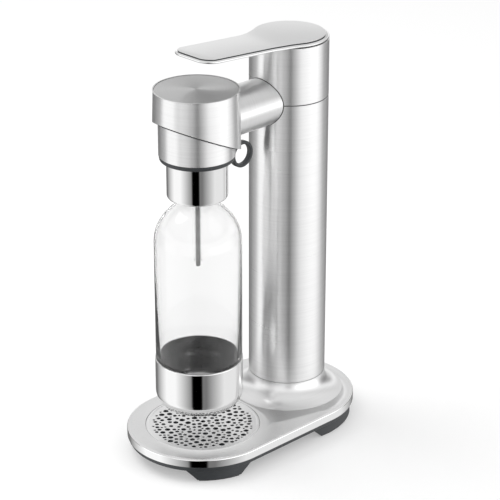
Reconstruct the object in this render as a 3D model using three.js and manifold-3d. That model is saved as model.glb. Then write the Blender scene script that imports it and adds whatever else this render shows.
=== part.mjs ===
import * as THREE from 'three';
import { mergeVertices } from 'three/addons/utils/BufferGeometryUtils.js';
import Module from 'manifold-3d';

// A sparkling water maker: a column with a gas cylinder inside, an arm with a docking head,
// a lever on top, and a capped bottle that hangs over a drip tray.
// Millimetres, +Z up, the front looks along -Y, and the origin is the middle of the base on the table.

// Clearances and cuts
const seatGap = 0.3;
const runGap = 0.4;
const overrun = 2;

// Facets
const bigSides = 36;
const bottleSides = 28;
const midSides = 24;
const smallSides = 8;
const nutSides = 6;
const holeSides = 5;
const arcSteps = 12;
const curveSteps = 5;
const innerSteps = 3;
const edgeSteps = 2;

// Base deck, a metal cover with a long oval plan
const baseRadius = 77.5;
const baseLength = 268;
const rimHeight = 9.7;
const bandHeight = 5.4;
const deckEdge = 1.8;
const deckSheet = 2;
const flareReach = 19;
const flareWall = 3.2;
const spigotHeight = 12;
const spigotWall = 2.5;
const bossRadius = 4;

// Underbody, a dark pan with four feet
const floorHeight = 12;
const floorThickness = 3;
const bandInset = 2.5;
const bandTopInset = 1.7;
const panWall = 3;
const footWidth = 17.5;
const footHeelInset = 3.2;
const footRamp = 12;
const frontFootAngles = [-47, -11];
const rearFootAngles = [-9, 45];
const padSlackAngle = 1;
const padHeight = 2.4;
const padShow = 1.2;
const padInset = 2;
const screwInset = 11.2;
const screwAngle = 62;
const screwRadius = 1.7;
const screwHeadRadius = 3.4;
const screwHeadHeight = 2;
const screwLength = 9;

// Drip tray
const trayFrontInset = 19.1;
const traySideInset = 18.6;
const trayBackGap = 3.9;
const cupWall = 1.8;
const cupRib = 2;
const cupRibHeight = 5;
const grateThickness = 1.4;
const grateRim = 5.5;
const grateRimRise = 0.5;
const grateHoleCount = 52;
const grateHoleRadii = [2.5, 1.3, 1.9];
const grateSpiralAngle = 137.5;

// Column
const columnEndInset = 68;
const columnRadius = 40.2;
const columnWall = 2;
const flareRise = 22;
const columnRise = 59;
const seamGap = 0.5;
const armHeight = 357;

// Column core, a casting that joins both column halves, the arm and the gas valve
const coreWall = 3.3;
const coreDrop = 39;
const corePlateRise = 23;
const corePlateThickness = 6;
const coreFrontWall = 4;

// Top plate of the column with the lever's lugs
const topPlateDrop = 2;
const topPlateThickness = 3;
const ledgeWidth = 1.3;
const ledgeHeight = 2;
const slotHalfWidth = 8.6;
const slotLead = 6.5;
const slotTail = 7;
const lugThickness = 4;
const lugHalfDepth = 4;
const lugDrop = 5.5;
const cheekThickness = 2.4;
const cheekFront = 20;
const cheekBack = 18;
const cheekDrop = 17;

// Arm
const armRadius = 24.5;
const armWall = 2;
const armFlange = 4;
const armInset = 20;
const armScrewSpread = 14;
const armScrewDrop = 5;
const armScrewRadius = 2;
const armScrewHeadRadius = 3.5;
const armScrewHeadHeight = 3;

// Docking head over the bottle
const bottleLead = 4;
const headRadius = 43.1;
const headWall = 2;
const headRise = 35.3;
const headEdge = 0.8;
const headDiscDrop = 1;
const headDiscThickness = 2;
const slantDrop = 12.51;
const slantDegrees = 24.56;
const blockRecess = 1.2;
const partingGap = 1.2;
const spigotLength = 18;
const pocketRadius = 22;
const pocketForward = 12;
const pocketRise = 7;

// Dock slide, a flanged boss on the cap that hangs on two rails in the head
const bossDrop = 1;
const bossFlange = 6;
const bossFlangeHalfWidth = 14;
const bossStemHalfWidth = 8;
const bossFrontInset = 10.5;
const bossLength = 24;
const inletInset = 6;
const sealOuter = 5;
const sealInner = 2.5;
const sealHeight = 2.4;
const inletDepth = 4.8;
const passageRadius = 1.8;

// Gas cylinder and its valve
const cylinderRadius = 30;
const cylinderWall = 2.6;
const cylinderFootRound = 6;
const cylinderShoulderDrop = 54;
const cylinderNeckDrop = 24;
const cylinderNeckLength = 12;
const cylinderNeckRadius = 13;
const cylinderNeckBore = 7.5;
const cylinderStemLength = 9;
const cylinderValveRadius = 10.5;
const cylinderValveRise = 5;
const valvePinRadius = 2.4;
const valvePinRise = 2.5;
const valvePinLength = 13.5;
const valvePinRoom = 4;
const coverMargin = 3.3;
const coverTabReach = 2.7;
const coverTabAngle = 36;
const coverTabSlack = 1;
const coverTabPlaces = [90, 270];
const coverNotchPlaces = [0, 180];
const coverTabHeight = 1.7;
const coverGripRadius = 26;
const coverGripDepth = 1.6;
const coverGripHalfWidth = 3.5;
const cushionRadius = 22;
const cushionHeight = 2.3;

// Valve body, plunger and wedge
const valveBodyRadius = 15;
const valveBodyDrop = 5;
const valveBodyRise = 26;
const valveFlangeRadius = 19;
const valveSealHeight = 1.7;
const valveSealWidth = 6;
const reliefLength = 9;
const reliefRadius = 5;
const pipeRise = 11;
const pipeRadius = 3;
const nutRadius = 6;
const plungerRadius = 3;
const collarRadius = 6.5;
const collarRise = 34.3;
const collarThickness = 1.7;
const followerHalfWidth = 6;
const followerHalfDepth = 5;
const followerEdge = 0.5;
const wedgeDegrees = 35;
const springWire = 1.2;
const springRadius = 5.2;
const springTurns = 4;
const springSteps = 8;
const springSides = 5;
const sliderHalfWidth = 8;
const sliderBarDrop = 7;
const sliderTail = 10;

// Lever
const pivotFront = 30;
const pivotDrop = 6;
const pivotPinRadius = 1.5;
const hubRadius = 4.2;
const noseDrop = 14;
const noseRadius = 3;
const bracketHalfWidth = 8;
const bracketFlangeHalfWidth = 12;
const bracketFlangeLead = 10;
const bracketFlangeInset = 3;
const bracketFlangeThickness = 1.3;
const leverGap = 0.8;
const leverThickness = 4.3;
const leverRim = 3.1;
const leverDiscRadius = 36.9;
const leverTipLead = 8.5;
const leverHalfWidth = 25.2;
const leverCorner = 13;
const leverFillet = 80;
const leverSkin = 1;
const leverSkinInset = 0.4;
const leverBendEase = 14;
const leverRisePerLength = 0.0775;
const leverPocketHalfWidth = 23;
const leverPocketLead = 46;
const leverPocketTail = 4;
const leverPocketDepth = 1.9;
const leverStations = 26;
const leverPlanShare = 0.8;
const leverEndShare = 0.0001;
const leverRimShares = [[0.6, 0], [1, 0.25], [0.75, 0.7], [0, 1]];

// Bottle cap
const capRadius = 37.8;
const capWall = 1.8;
const capRingDrop = 31.7;
const capRingHeight = 5;
const capRingInset = 0.5;
const capRingInner = 31;
const collarOuter = 30.3;
const collarWall = 1.5;
const capCollarHeight = 39.5;
const capCollarRound = 3;
const collarLip = 7;
const socketRadius = 19.4;
const neckSealHeight = 1.7;
const neckSealWidth = 4;
const sleeveRadius = 4.25;
const sleeveBore = 2.8;
const tubeSeatDepth = 7;
const sleeveReach = 68.8;
const sleeveRound = 0.8;
const tubeRadius = 2.3;
const tubeBore = 0.9;
const tubeShow = 6;

// Release ring behind the cap
const ringRadius = 13.8;
const ringBand = 3.5;
const ringEdge = 0.9;
const ringHalfWidth = 3;
const ringReach = 19.2;
const ringDrop = 12.2;
const hingeBehindAxis = 40.5;
const ringRoom = 12;
const hingeRise = 1.2;
const hingeRadius = 2.6;
const hingePinRadius = 1.1;
const hingeEarThickness = 2.2;
const hingeHalfWidth = 2.5;
const ringArmThickness = 3.6;
const noseLength = 18;
const noseThickness = 2.4;
const releaseDegrees = 20;
const releaseSteps = 4;
const poppetForward = 16.5;
const poppetRadius = 1.8;
const poppetLength = 14;

// Bottle and its base cup
const bottleRadius = 43.9;
const bottleWall = 2;
const bottleShoulderHeight = 44.5;
const bottleNeckHeight = 29.8;
const bottleNeckRadius = 17.5;
const bottleTopDrop = 51;
const threadReach = 1.2;
const threadHeight = 2;
const threadDrop = 10;
const cupHeight = 53.5;
const cupRadius = 44.6;
const cupSheet = 1.5;
const cupBendRise = 18;
const cupClearance = 25.2;
const cupFootRadius = 26.6;
const bottleFootRise = 2;

// Powers of the quarter curves: a circle's quarter and the bottle's shoulder
const roundPowers = [1, 1];
const shoulderPowers = [2, 0.9];

// Places along Y and radii worked out from the sizes above
const baseArcY = baseLength / 2 - baseRadius;
const footInner = baseRadius - footWidth;
const screwCircle = baseRadius - screwInset;
const columnBack = baseLength / 2 - columnEndInset;
const columnInner = columnRadius - columnWall;
const flareFront = columnBack - columnRadius - flareReach;
const traySpan = flareFront - trayBackGap + baseLength / 2 - trayFrontInset;
const trayRadius = Math.min(traySpan / 2, baseRadius - traySideInset);
const trayForward = baseLength / 2 - trayFrontInset - trayRadius;
const coverRadius = cylinderRadius + coverMargin;
const headInner = headRadius - headWall;
const capInner = capRadius - capWall;
const collarInner = collarOuter - collarWall;
const armReach = hingeBehindAxis + ringReach + ringRadius + ringRoom + columnRadius;
const bottleForward = Math.max(trayForward + bottleLead, armReach - columnBack);
const pivotY = columnBack - pivotFront;
const slotFront = pivotFront + slotLead;
const slotBack = pivotFront - slotTail;
const sliderBack = columnBack + sliderTail;
const armEndY = columnBack - armInset;
const frontWallBack = armEndY + seatGap + coreFrontWall;
const leverTip = bottleForward + leverTipLead;
const hingeY = -bottleForward + hingeBehindAxis;
const bossFront = -bottleForward + bossFrontInset;
const bossBack = bossFront + bossLength;
const inletY = bossFront + inletInset;

// Heights worked out from the base upwards
const panFloor = floorHeight + floorThickness;
const rimBottom = floorHeight + bandHeight;
const deckTop = rimBottom + rimHeight;
const columnFoot = deckTop + flareRise;
const cushionFoot = panFloor + seatGap + coverTabHeight + seatGap;
const cylinderFoot = cushionFoot + cushionHeight + runGap;
const cupFoot = deckTop + cupClearance;
const cupBend = cupFoot + cupBendRise;
const cupRim = cupFoot + cupHeight;

// Heights worked out from the arm
const coreFoot = armHeight - coreDrop;
const corePlateTop = armHeight + corePlateRise;
const columnTop = armHeight + columnRise;
const topPlateTop = columnTop - topPlateDrop;
const pivotHeight = columnTop - pivotDrop;
const sliderBarTop = pivotHeight - sliderBarDrop;
const leverFoot = columnTop + leverGap;
const headTop = armHeight + headRise;
const slantAxisHeight = armHeight - slantDrop;
const pocketFloor = armHeight + pocketRise;
const bossTop = armHeight - bossDrop;
const flangeFoot = bossTop - bossFlange;
const cylinderShoulder = armHeight - cylinderShoulderDrop;
const cylinderNeckFoot = armHeight - cylinderNeckDrop;
const cylinderNeckTop = cylinderNeckFoot + cylinderNeckLength;
const cylinderValveTop = armHeight + cylinderValveRise;
const valveBodyFoot = armHeight - valveBodyDrop;
const valveBodyTop = armHeight + valveBodyRise;
const pipeHeight = armHeight + pipeRise;
const collarFoot = armHeight + collarRise;
const capRingTop = armHeight - capRingDrop;
const capRingFoot = capRingTop - capRingHeight;
const capCollarFoot = capRingFoot - capCollarHeight;
const hingeHeight = capRingFoot + hingeRise;
const sleeveFoot = capCollarFoot - sleeveReach;
const bottleTop = armHeight - bottleTopDrop;
const bottleNeckFoot = bottleTop - bottleNeckHeight;
const bottleShoulder = bottleNeckFoot - bottleShoulderHeight;

// Slopes
const slantSlope = Math.tan(THREE.MathUtils.degToRad(slantDegrees));
const wedgeSlope = Math.tan(THREE.MathUtils.degToRad(wedgeDegrees));

const wasm = await Module();
wasm.setup();

// A closed surface as a solid: vertices welded, flat triangles dropped, faces turned outwards.
function solidOf(geometry) {
  const bare = new THREE.BufferGeometry();
  bare.setAttribute('position', geometry.getAttribute('position'));
  if (geometry.index) bare.setIndex(geometry.index);
  const welded = mergeVertices(bare);
  const places = welded.getAttribute('position').array;
  const corners = [];
  let volume = 0;
  const a = new THREE.Vector3();
  const b = new THREE.Vector3();
  const c = new THREE.Vector3();
  const source = welded.index.array;
  for (let i = 0; i < source.length; i += 3) {
    const [p, q, r] = [source[i], source[i + 1], source[i + 2]];
    if (p === q || q === r || r === p) continue;
    corners.push(p, q, r);
    a.fromArray(places, p * 3);
    b.fromArray(places, q * 3);
    c.fromArray(places, r * 3);
    volume += a.dot(b.cross(c));
  }
  if (volume < 0) corners.reverse();
  const mesh = new wasm.Mesh({
    numProp: 3,
    vertProperties: Float32Array.from(places),
    triVerts: Uint32Array.from(corners),
  });
  return new wasm.Manifold(mesh);
}

// The solid's surface as a geometry.
function geometryOf(solid) {
  const mesh = solid.getMesh();
  const geometry = new THREE.BufferGeometry();
  const places = Float32Array.from(mesh.vertProperties);
  geometry.setAttribute('position', new THREE.BufferAttribute(places, 3));
  geometry.setIndex(new THREE.BufferAttribute(Uint32Array.from(mesh.triVerts), 1));
  geometry.computeVertexNormals();
  return geometry;
}

function joined(...solids) {
  return solids.reduce((whole, piece) => whole.add(piece));
}

function cut(body, ...tools) {
  return tools.reduce((rest, tool) => rest.subtract(tool), body);
}

// A turned body around the vertical line through (x, y). The profile holds [radius, height] pairs.
// An open profile starts and ends on the axis, and a closed one returns to its first point.
function turned(profile, sides, x, y) {
  const points = profile.map(([radius, height]) => new THREE.Vector2(radius, height));
  const closed = profile[0][0] > 0;
  if (closed) points.push(points[0].clone());
  const geometry = new THREE.LatheGeometry(points, sides);
  geometry.rotateX(Math.PI / 2);
  geometry.translate(x, y, 0);
  return solidOf(geometry);
}

function disc(radius, low, high, sides, x, y) {
  return turned([[0, low], [radius, low], [radius, high], [0, high]], sides, x, y);
}

function tube(inner, outer, low, high, sides, x, y) {
  return turned([[inner, low], [outer, low], [outer, high], [inner, high]], sides, x, y);
}

// A box from its lowest to its highest corner.
function box(low, high) {
  const size = high.map((value, axis) => value - low[axis]);
  const middle = high.map((value, axis) => (value + low[axis]) / 2);
  const geometry = new THREE.BoxGeometry(...size);
  geometry.translate(...middle);
  return solidOf(geometry);
}

// A round rod between two points.
function rod(from, to, radius, sides) {
  const start = new THREE.Vector3(...from);
  const run = new THREE.Vector3(...to).sub(start);
  const geometry = new THREE.CylinderGeometry(radius, radius, run.length(), sides);
  const up = new THREE.Vector3(0, 1, 0);
  geometry.applyQuaternion(new THREE.Quaternion().setFromUnitVectors(up, run.clone().normalize()));
  geometry.translate(...start.addScaledVector(run, 1 / 2).toArray());
  return solidOf(geometry);
}

// A shape drawn in the YZ plane and drawn out along X, centred on the middle plane.
function slab(outline, halfWidth) {
  const shape = new THREE.Shape(outline.map(([y, z]) => new THREE.Vector2(y, z)));
  const geometry = new THREE.ExtrudeGeometry(shape, { depth: halfWidth * 2, bevelEnabled: false });
  geometry.translate(0, 0, -halfWidth);
  geometry.applyMatrix4(new THREE.Matrix4().set(0, 0, 1, 0, 1, 0, 0, 0, 0, 1, 0, 0, 0, 0, 0, 1));
  return solidOf(geometry);
}

// A body skinned over closed loops of points that all have the same count.
function skinned(loops) {
  const count = loops[0].length;
  const places = [];
  for (const loop of loops) {
    for (const point of loop) places.push(...point);
  }
  const corners = [];
  for (let level = 0; level + 1 < loops.length; level += 1) {
    for (let i = 0; i < count; i += 1) {
      const next = (i + 1) % count;
      const [p, q] = [level * count + i, level * count + next];
      corners.push(p, q, q + count, p, q + count, p + count);
    }
  }
  const ends = [[loops[0], 0, true], [loops[loops.length - 1], (loops.length - 1) * count, false]];
  for (const [loop, first, low] of ends) {
    const middle = [0, 1, 2].map((axis) => loop.reduce((sum, point) => sum + point[axis], 0) / count);
    const hub = places.length / 3;
    places.push(...middle);
    for (let i = 0; i < count; i += 1) {
      const [p, q] = [first + i, first + (i + 1) % count];
      corners.push(hub, low ? q : p, low ? p : q);
    }
  }
  const geometry = new THREE.BufferGeometry();
  geometry.setAttribute('position', new THREE.Float32BufferAttribute(places, 3));
  geometry.setIndex(corners);
  return solidOf(geometry);
}

// The long oval plan: two half circles around the ends of the base's spine.
function ovalLoop(radius, height) {
  const loop = [];
  for (const side of [-1, 1]) {
    for (let i = 0; i <= arcSteps; i += 1) {
      const angle = Math.PI * (i / arcSteps) + (side < 0 ? Math.PI : 0);
      loop.push([radius * Math.cos(angle), side * baseArcY + radius * Math.sin(angle), height]);
    }
  }
  return loop;
}

// A sector of a ring around (x, y), between two angles in degrees.
function sectorLoop(inner, outer, from, to, height, x, y) {
  const steps = curveSteps;
  const loop = [];
  for (let i = 0; i <= steps; i += 1) {
    const angle = THREE.MathUtils.degToRad(from + (to - from) * (i / steps));
    loop.push([x + outer * Math.cos(angle), y + outer * Math.sin(angle), height]);
  }
  for (let i = steps; i >= 0; i -= 1) {
    const angle = THREE.MathUtils.degToRad(from + (to - from) * (i / steps));
    loop.push([x + inner * Math.cos(angle), y + inner * Math.sin(angle), height]);
  }
  return loop;
}

// Profile points of a quarter curve that leaves the first point upright and meets the last one level.
function quarterCurve(from, to, [radiusPower, heightPower], steps) {
  const points = [];
  for (let i = 0; i <= steps; i += 1) {
    const turn = (i / steps) * (Math.PI / 2);
    const across = i === steps ? 0 : Math.cos(turn) ** radiusPower;
    const along = Math.sin(turn) ** heightPower;
    points.push([to[0] + (from[0] - to[0]) * across, from[1] + (to[1] - from[1]) * along]);
  }
  return points;
}

// Everything above the slanted parting plane, lifted by a given height, within reach of the head.
function aboveSlant(lift) {
  const reach = headRadius + overrun;
  const [front, back] = [-bottleForward - reach, -bottleForward + reach];
  const roof = headTop + headRadius;
  const [frontFoot, backFoot] = [slantAt(front) + lift, slantAt(back) + lift];
  return slab([[front, frontFoot], [back, backFoot], [back, roof], [front, roof]], reach);
}

// Everything below the slanted parting plane, lifted by a given height, within reach of the head.
function belowSlant(lift) {
  const reach = headRadius + overrun;
  const [front, back] = [-bottleForward - reach, -bottleForward + reach];
  const cellar = capCollarFoot - headRadius;
  const [frontTop, backTop] = [slantAt(front) + lift, slantAt(back) + lift];
  return slab([[front, cellar], [back, cellar], [back, backTop], [front, frontTop]], reach);
}

// Height of the parting plane at a distance along Y.
function slantAt(y) {
  return slantAxisHeight - slantSlope * (y + bottleForward);
}

// Middles of the four deck screws.
function screwPlaces() {
  const angle = THREE.MathUtils.degToRad(screwAngle);
  const x = screwCircle * Math.cos(angle);
  const y = baseArcY + screwCircle * Math.sin(angle);
  return { front_right: [x, -y], front_left: [-x, -y], rear_right: [x, y], rear_left: [-x, y] };
}

// The flare from the deck up to the column, moved inwards and down for its inner face.
function flareProfile(inward, down) {
  const points = [];
  for (let i = 0; i <= curveSteps; i += 1) {
    const turn = (i / curveSteps) * (Math.PI / 2);
    const radius = columnRadius + flareReach * (1 - Math.sin(turn));
    const height = columnFoot - (columnFoot - deckTop) * Math.cos(turn);
    points.push([radius - inward, height - down]);
  }
  return points;
}

// Base deck: pressed cover, flare up to the column, spigot and screw bosses.
function baseDeck() {
  const loops = [ovalLoop(baseRadius, rimBottom)];
  for (let i = 0; i <= edgeSteps; i += 1) {
    const turn = (i / edgeSteps) * (Math.PI / 2);
    const radius = baseRadius - deckEdge * (1 - Math.cos(turn));
    loops.push(ovalLoop(radius, deckTop - deckEdge * (1 - Math.sin(turn))));
  }
  const cover = skinned(loops);
  const inside = baseRadius - deckSheet;
  const ceiling = deckTop - deckSheet;
  const hollow = skinned([ovalLoop(inside, rimBottom - overrun), ovalLoop(inside, ceiling)]);
  const flareFoot = columnRadius + flareReach;
  const flare = turned(
    [[0, ceiling], [flareFoot, ceiling], ...flareProfile(0, 0), [0, columnFoot]],
    bigSides, 0, columnBack,
  );
  const bell = turned(
    [[0, rimBottom], [flareFoot - flareWall, rimBottom], ...flareProfile(flareWall, deckSheet),
      [columnRadius - flareWall, columnFoot + overrun], [0, columnFoot + overrun]],
    bigSides, 0, columnBack,
  );
  const spigotOuter = columnInner - seatGap;
  const spigotFoot = columnFoot - spigotHeight / 2;
  const spigotTop = columnFoot + spigotHeight;
  const spigotInner = spigotOuter - spigotWall;
  const spigot = tube(spigotInner, spigotOuter, spigotFoot, spigotTop, bigSides, 0, columnBack);
  const tray = disc(trayRadius, rimBottom, deckTop + overrun, bigSides, 0, -trayForward);
  let deck = joined(cut(cover, hollow), flare);
  deck = cut(deck, bell, tray);
  deck = joined(deck, spigot);
  for (const [x, y] of Object.values(screwPlaces())) {
    const boss = disc(bossRadius, panFloor + seatGap, deckTop - deckSheet / 2, smallSides, x, y);
    const boreTop = floorHeight + screwLength + seatGap;
    const bore = disc(screwRadius + seatGap, floorHeight, boreTop, smallSides, x, y);
    deck = cut(joined(deck, boss), bore);
  }
  return deck;
}

// Angles of the four feet around the ends of the base's spine.
function footPlaces() {
  const [front, rear] = [frontFootAngles, rearFootAngles];
  return {
    front_right: { angles: front, y: -baseArcY },
    front_left: { angles: [-180 - front[1], -180 - front[0]], y: -baseArcY },
    rear_right: { angles: rear, y: baseArcY },
    rear_left: { angles: [180 - rear[1], 180 - rear[0]], y: baseArcY },
  };
}

// Underbody: pan with four ramped feet, a rib around the drip cup and the cylinder's hatch.
function baseUnderbody() {
  const lip = baseRadius - deckSheet - seatGap;
  const lipTop = deckTop - deckSheet - seatGap;
  const shoulder = rimBottom - seatGap;
  const outside = skinned([
    ovalLoop(baseRadius - bandInset, floorHeight), ovalLoop(baseRadius - bandTopInset, shoulder),
    ovalLoop(lip, shoulder), ovalLoop(lip, lipTop),
  ]);
  const inside = skinned([ovalLoop(lip - panWall, panFloor), ovalLoop(lip - panWall, lipTop + overrun)]);
  const ribInner = trayRadius - seatGap;
  const [ribFoot, ribTop] = [panFloor - seatGap, panFloor + cupRibHeight];
  const rib = tube(ribInner, ribInner + cupRib, ribFoot, ribTop, bigSides, 0, -trayForward);
  const hatch = disc(coverRadius + runGap, 0, lipTop, bigSides, 0, columnBack);
  let pan = joined(cut(outside, inside), rib);
  pan = cut(pan, hatch);
  for (const middle of coverNotchPlaces) {
    const half = coverTabAngle / 2 + coverTabSlack;
    const [from, to] = [middle - half, middle + half];
    const reach = coverRadius + coverTabReach + runGap;
    const notch = [floorHeight - overrun, panFloor + overrun].map(
      (height) => sectorLoop(cushionRadius, reach, from, to, height, 0, columnBack),
    );
    pan = cut(pan, skinned(notch));
  }
  const heel = baseRadius - footHeelInset;
  const degrees = THREE.MathUtils.radToDeg(footRamp / heel);
  for (const { angles: [from, to], y } of Object.values(footPlaces())) {
    const [wideInner, wideOuter] = [footInner - padInset, baseRadius - bandInset];
    const wide = sectorLoop(wideInner, wideOuter, from - degrees, to + degrees, panFloor, 0, y);
    const narrow = sectorLoop(footInner, heel, from, to, padShow, 0, y);
    const [near, far] = [footInner + padInset - seatGap, heel - padInset + seatGap];
    const [start, end] = [from + padSlackAngle, to - padSlackAngle];
    const pocket = [0, padHeight + seatGap].map(
      (height) => sectorLoop(near, far, start, end, height, 0, y),
    );
    pan = cut(joined(pan, skinned([narrow, wide])), skinned(pocket));
  }
  for (const [x, y] of Object.values(screwPlaces())) {
    pan = cut(pan, disc(screwRadius + seatGap, 0, lipTop, smallSides, x, y));
  }
  return pan;
}

function footPad(angles, y) {
  const [inner, outer] = [footInner + padInset, baseRadius - footHeelInset - padInset];
  const slack = padSlackAngle + THREE.MathUtils.radToDeg(seatGap / inner);
  const [from, to] = [angles[0] + slack, angles[1] - slack];
  return skinned([0, padHeight].map((height) => sectorLoop(inner, outer, from, to, height, 0, y)));
}

function deckScrew(x, y) {
  const headTopZ = floorHeight - seatGap;
  return turned([
    [0, headTopZ - screwHeadHeight], [screwHeadRadius, headTopZ - screwHeadHeight],
    [screwHeadRadius, headTopZ], [screwRadius, headTopZ],
    [screwRadius, floorHeight + screwLength], [0, floorHeight + screwLength],
  ], smallSides, x, y);
}

// Drip cup under the perforated plate.
function dripCup() {
  const outer = trayRadius - seatGap * 2;
  const inner = outer - cupWall;
  const [foot, top] = [panFloor + seatGap, deckTop - grateThickness - seatGap];
  const floor = foot + cupWall;
  return turned([
    [0, foot], [outer, foot], [outer, top], [inner, top], [inner, floor], [0, floor],
  ], bigSides, 0, -trayForward);
}

// Perforated plate: holes of three sizes on a sunflower spiral inside a raised rim.
function dripGrate() {
  const outer = trayRadius - seatGap;
  const shape = new THREE.Shape();
  shape.absarc(0, 0, outer, 0, Math.PI * 2);
  const field = outer - grateRim - Math.max(...grateHoleRadii);
  for (let i = 0; i < grateHoleCount; i += 1) {
    const reach = field * Math.sqrt((i + 1 / 2) / grateHoleCount);
    const angle = THREE.MathUtils.degToRad(i * grateSpiralAngle);
    const [middleX, middleY] = [reach * Math.cos(angle), reach * Math.sin(angle)];
    const radius = grateHoleRadii[i % grateHoleRadii.length];
    const hole = new THREE.Path();
    for (let k = 0; k < holeSides; k += 1) {
      const turn = angle + (k / holeSides) * Math.PI * 2;
      const [x, y] = [middleX + radius * Math.cos(turn), middleY + radius * Math.sin(turn)];
      if (k === 0) hole.moveTo(x, y);
      else hole.lineTo(x, y);
    }
    hole.closePath();
    shape.holes.push(hole);
  }
  const depth = grateThickness - grateRimRise;
  const options = { depth, bevelEnabled: false, curveSegments: bigSides / 2 };
  const plate = new THREE.ExtrudeGeometry(shape, options);
  plate.translate(0, -trayForward, deckTop - grateThickness);
  const rimFoot = deckTop - grateThickness;
  const rim = tube(outer - grateRim / 2, outer, rimFoot, deckTop, bigSides, 0, -trayForward);
  return joined(solidOf(plate), rim);
}

// Hatch cover under the cylinder, turned by hand: two tabs lock over the pan's floor.
function cylinderCover() {
  const low = floorHeight + seatGap;
  const tabLow = panFloor + seatGap;
  const tabHigh = tabLow + coverTabHeight;
  let cover = disc(coverRadius, low, tabHigh, bigSides, 0, columnBack);
  for (const middle of coverTabPlaces) {
    const [from, to] = [middle - coverTabAngle / 2, middle + coverTabAngle / 2];
    const tab = [tabLow, tabHigh].map(
      (height) => sectorLoop(cushionRadius, coverRadius + coverTabReach, from, to, height, 0, columnBack),
    );
    cover = joined(cover, skinned(tab));
  }
  const dish = disc(coverGripRadius, low - overrun, low + coverGripDepth, midSides, 0, columnBack);
  const grip = box(
    [-coverGripHalfWidth, columnBack - coverRadius, low - overrun * 2],
    [coverGripHalfWidth, columnBack + coverRadius, low + coverGripDepth * 2],
  );
  return cut(cover, cut(dish, grip));
}

function cylinderCushion() {
  return disc(cushionRadius, cushionFoot, cushionFoot + cushionHeight, midSides, 0, columnBack);
}

// The round opening for the arm in the column's front.
function armBore(radius) {
  const front = columnBack - columnRadius - overrun;
  return rod([0, front, armHeight], [0, columnBack, armHeight], radius, midSides);
}

function lowerColumn() {
  const top = armHeight - seamGap / 2;
  const shell = tube(columnInner, columnRadius, columnFoot + seamGap, top, bigSides, 0, columnBack);
  return cut(shell, armBore(armRadius + seatGap));
}

function upperColumn() {
  const low = armHeight + seamGap / 2;
  const ledgeTop = topPlateTop - topPlateThickness - seatGap;
  const shell = turned([
    [columnInner, low], [columnRadius, low], [columnRadius, columnTop], [columnInner, columnTop],
    [columnInner, ledgeTop], [columnInner - ledgeWidth, ledgeTop],
    [columnInner - ledgeWidth, ledgeTop - ledgeHeight + ledgeWidth], [columnInner, ledgeTop - ledgeHeight],
  ], bigSides, 0, columnBack);
  return cut(shell, armBore(armRadius + seatGap));
}

// Casting inside the column: sleeve, plate under the valve and the wall that the arm bolts to.
function columnCore() {
  const outer = columnInner - seatGap;
  const plateFoot = corePlateTop - corePlateThickness;
  const sleeve = turned([
    [outer - coreWall, coreFoot], [outer, coreFoot], [outer, corePlateTop],
    [valveBodyRadius + seatGap, corePlateTop], [valveBodyRadius + seatGap, plateFoot],
    [outer - coreWall, plateFoot],
  ], bigSides, 0, columnBack);
  const wallHalfWidth = outer - coreWall / 2;
  const wall = box(
    [-wallHalfWidth, armEndY + seatGap, cylinderNeckFoot + seatGap],
    [wallHalfWidth, frontWallBack, corePlateTop - corePlateThickness / 2],
  );
  const round = disc(outer - coreWall / 2, coreFoot, corePlateTop, bigSides, 0, columnBack);
  const openFront = [0, columnBack - columnRadius - overrun, armHeight];
  const opening = rod(openFront, [0, armEndY + seatGap, armHeight], armRadius + seatGap, midSides);
  const nutRoom = nutRadius + seatGap;
  const nutHole = rod([0, armEndY, pipeHeight], [0, columnBack, pipeHeight], nutRoom, midSides);
  const valveRoom = disc(valveBodyRadius + seatGap, coreFoot, columnTop, midSides, 0, columnBack);
  let core = cut(sleeve, opening);
  core = joined(core, cut(wall.intersect(round), valveRoom));
  core = cut(core, nutHole);
  for (const side of [-1, 1]) {
    core = cut(core, armScrewRod(side, armEndY, frontWallBack + overrun, armScrewRadius + seatGap));
  }
  return core;
}

// A rod along one of the two arm screws.
function armScrewRod(side, from, to, radius) {
  const [x, z] = [side * armScrewSpread, armHeight - armScrewDrop];
  return rod([x, from, z], [x, to, z], radius, smallSides);
}

function armScrew(side) {
  const seat = frontWallBack + seatGap;
  const shankEnd = seat + armScrewHeadHeight / 2;
  const shank = armScrewRod(side, armEndY - armFlange + seatGap, shankEnd, armScrewRadius);
  return joined(shank, armScrewRod(side, seat, seat + armScrewHeadHeight, armScrewHeadRadius));
}

// Top plate: a disc with a slot for the lever's bracket, two lugs for the pin and two guide cheeks.
function columnTopPlate() {
  const outer = columnInner - seatGap;
  const low = topPlateTop - topPlateThickness;
  let plate = disc(outer, low, topPlateTop, bigSides, 0, columnBack);
  plate = cut(plate, box(
    [-slotHalfWidth, columnBack - slotFront, low - overrun],
    [slotHalfWidth, columnBack - slotBack, topPlateTop + overrun],
  ));
  for (const side of [-1, 1]) {
    const [inner, lugOuter] = [side * slotHalfWidth, side * (slotHalfWidth + lugThickness)];
    const cheekOuter = side * (slotHalfWidth + cheekThickness);
    const lug = box(
      [Math.min(inner, lugOuter), pivotY - lugHalfDepth, low - lugDrop],
      [Math.max(inner, lugOuter), pivotY + lugHalfDepth, topPlateTop - topPlateThickness / 2],
    );
    const cheek = box(
      [Math.min(inner, cheekOuter), columnBack - cheekFront, low - cheekDrop],
      [Math.max(inner, cheekOuter), columnBack + cheekBack, topPlateTop - topPlateThickness / 2],
    );
    plate = joined(plate, lug, cheek);
  }
  const reach = slotHalfWidth + lugThickness + overrun;
  return cut(plate, crossRod(pivotY, pivotHeight, pivotPinRadius + seatGap, reach));
}

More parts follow.
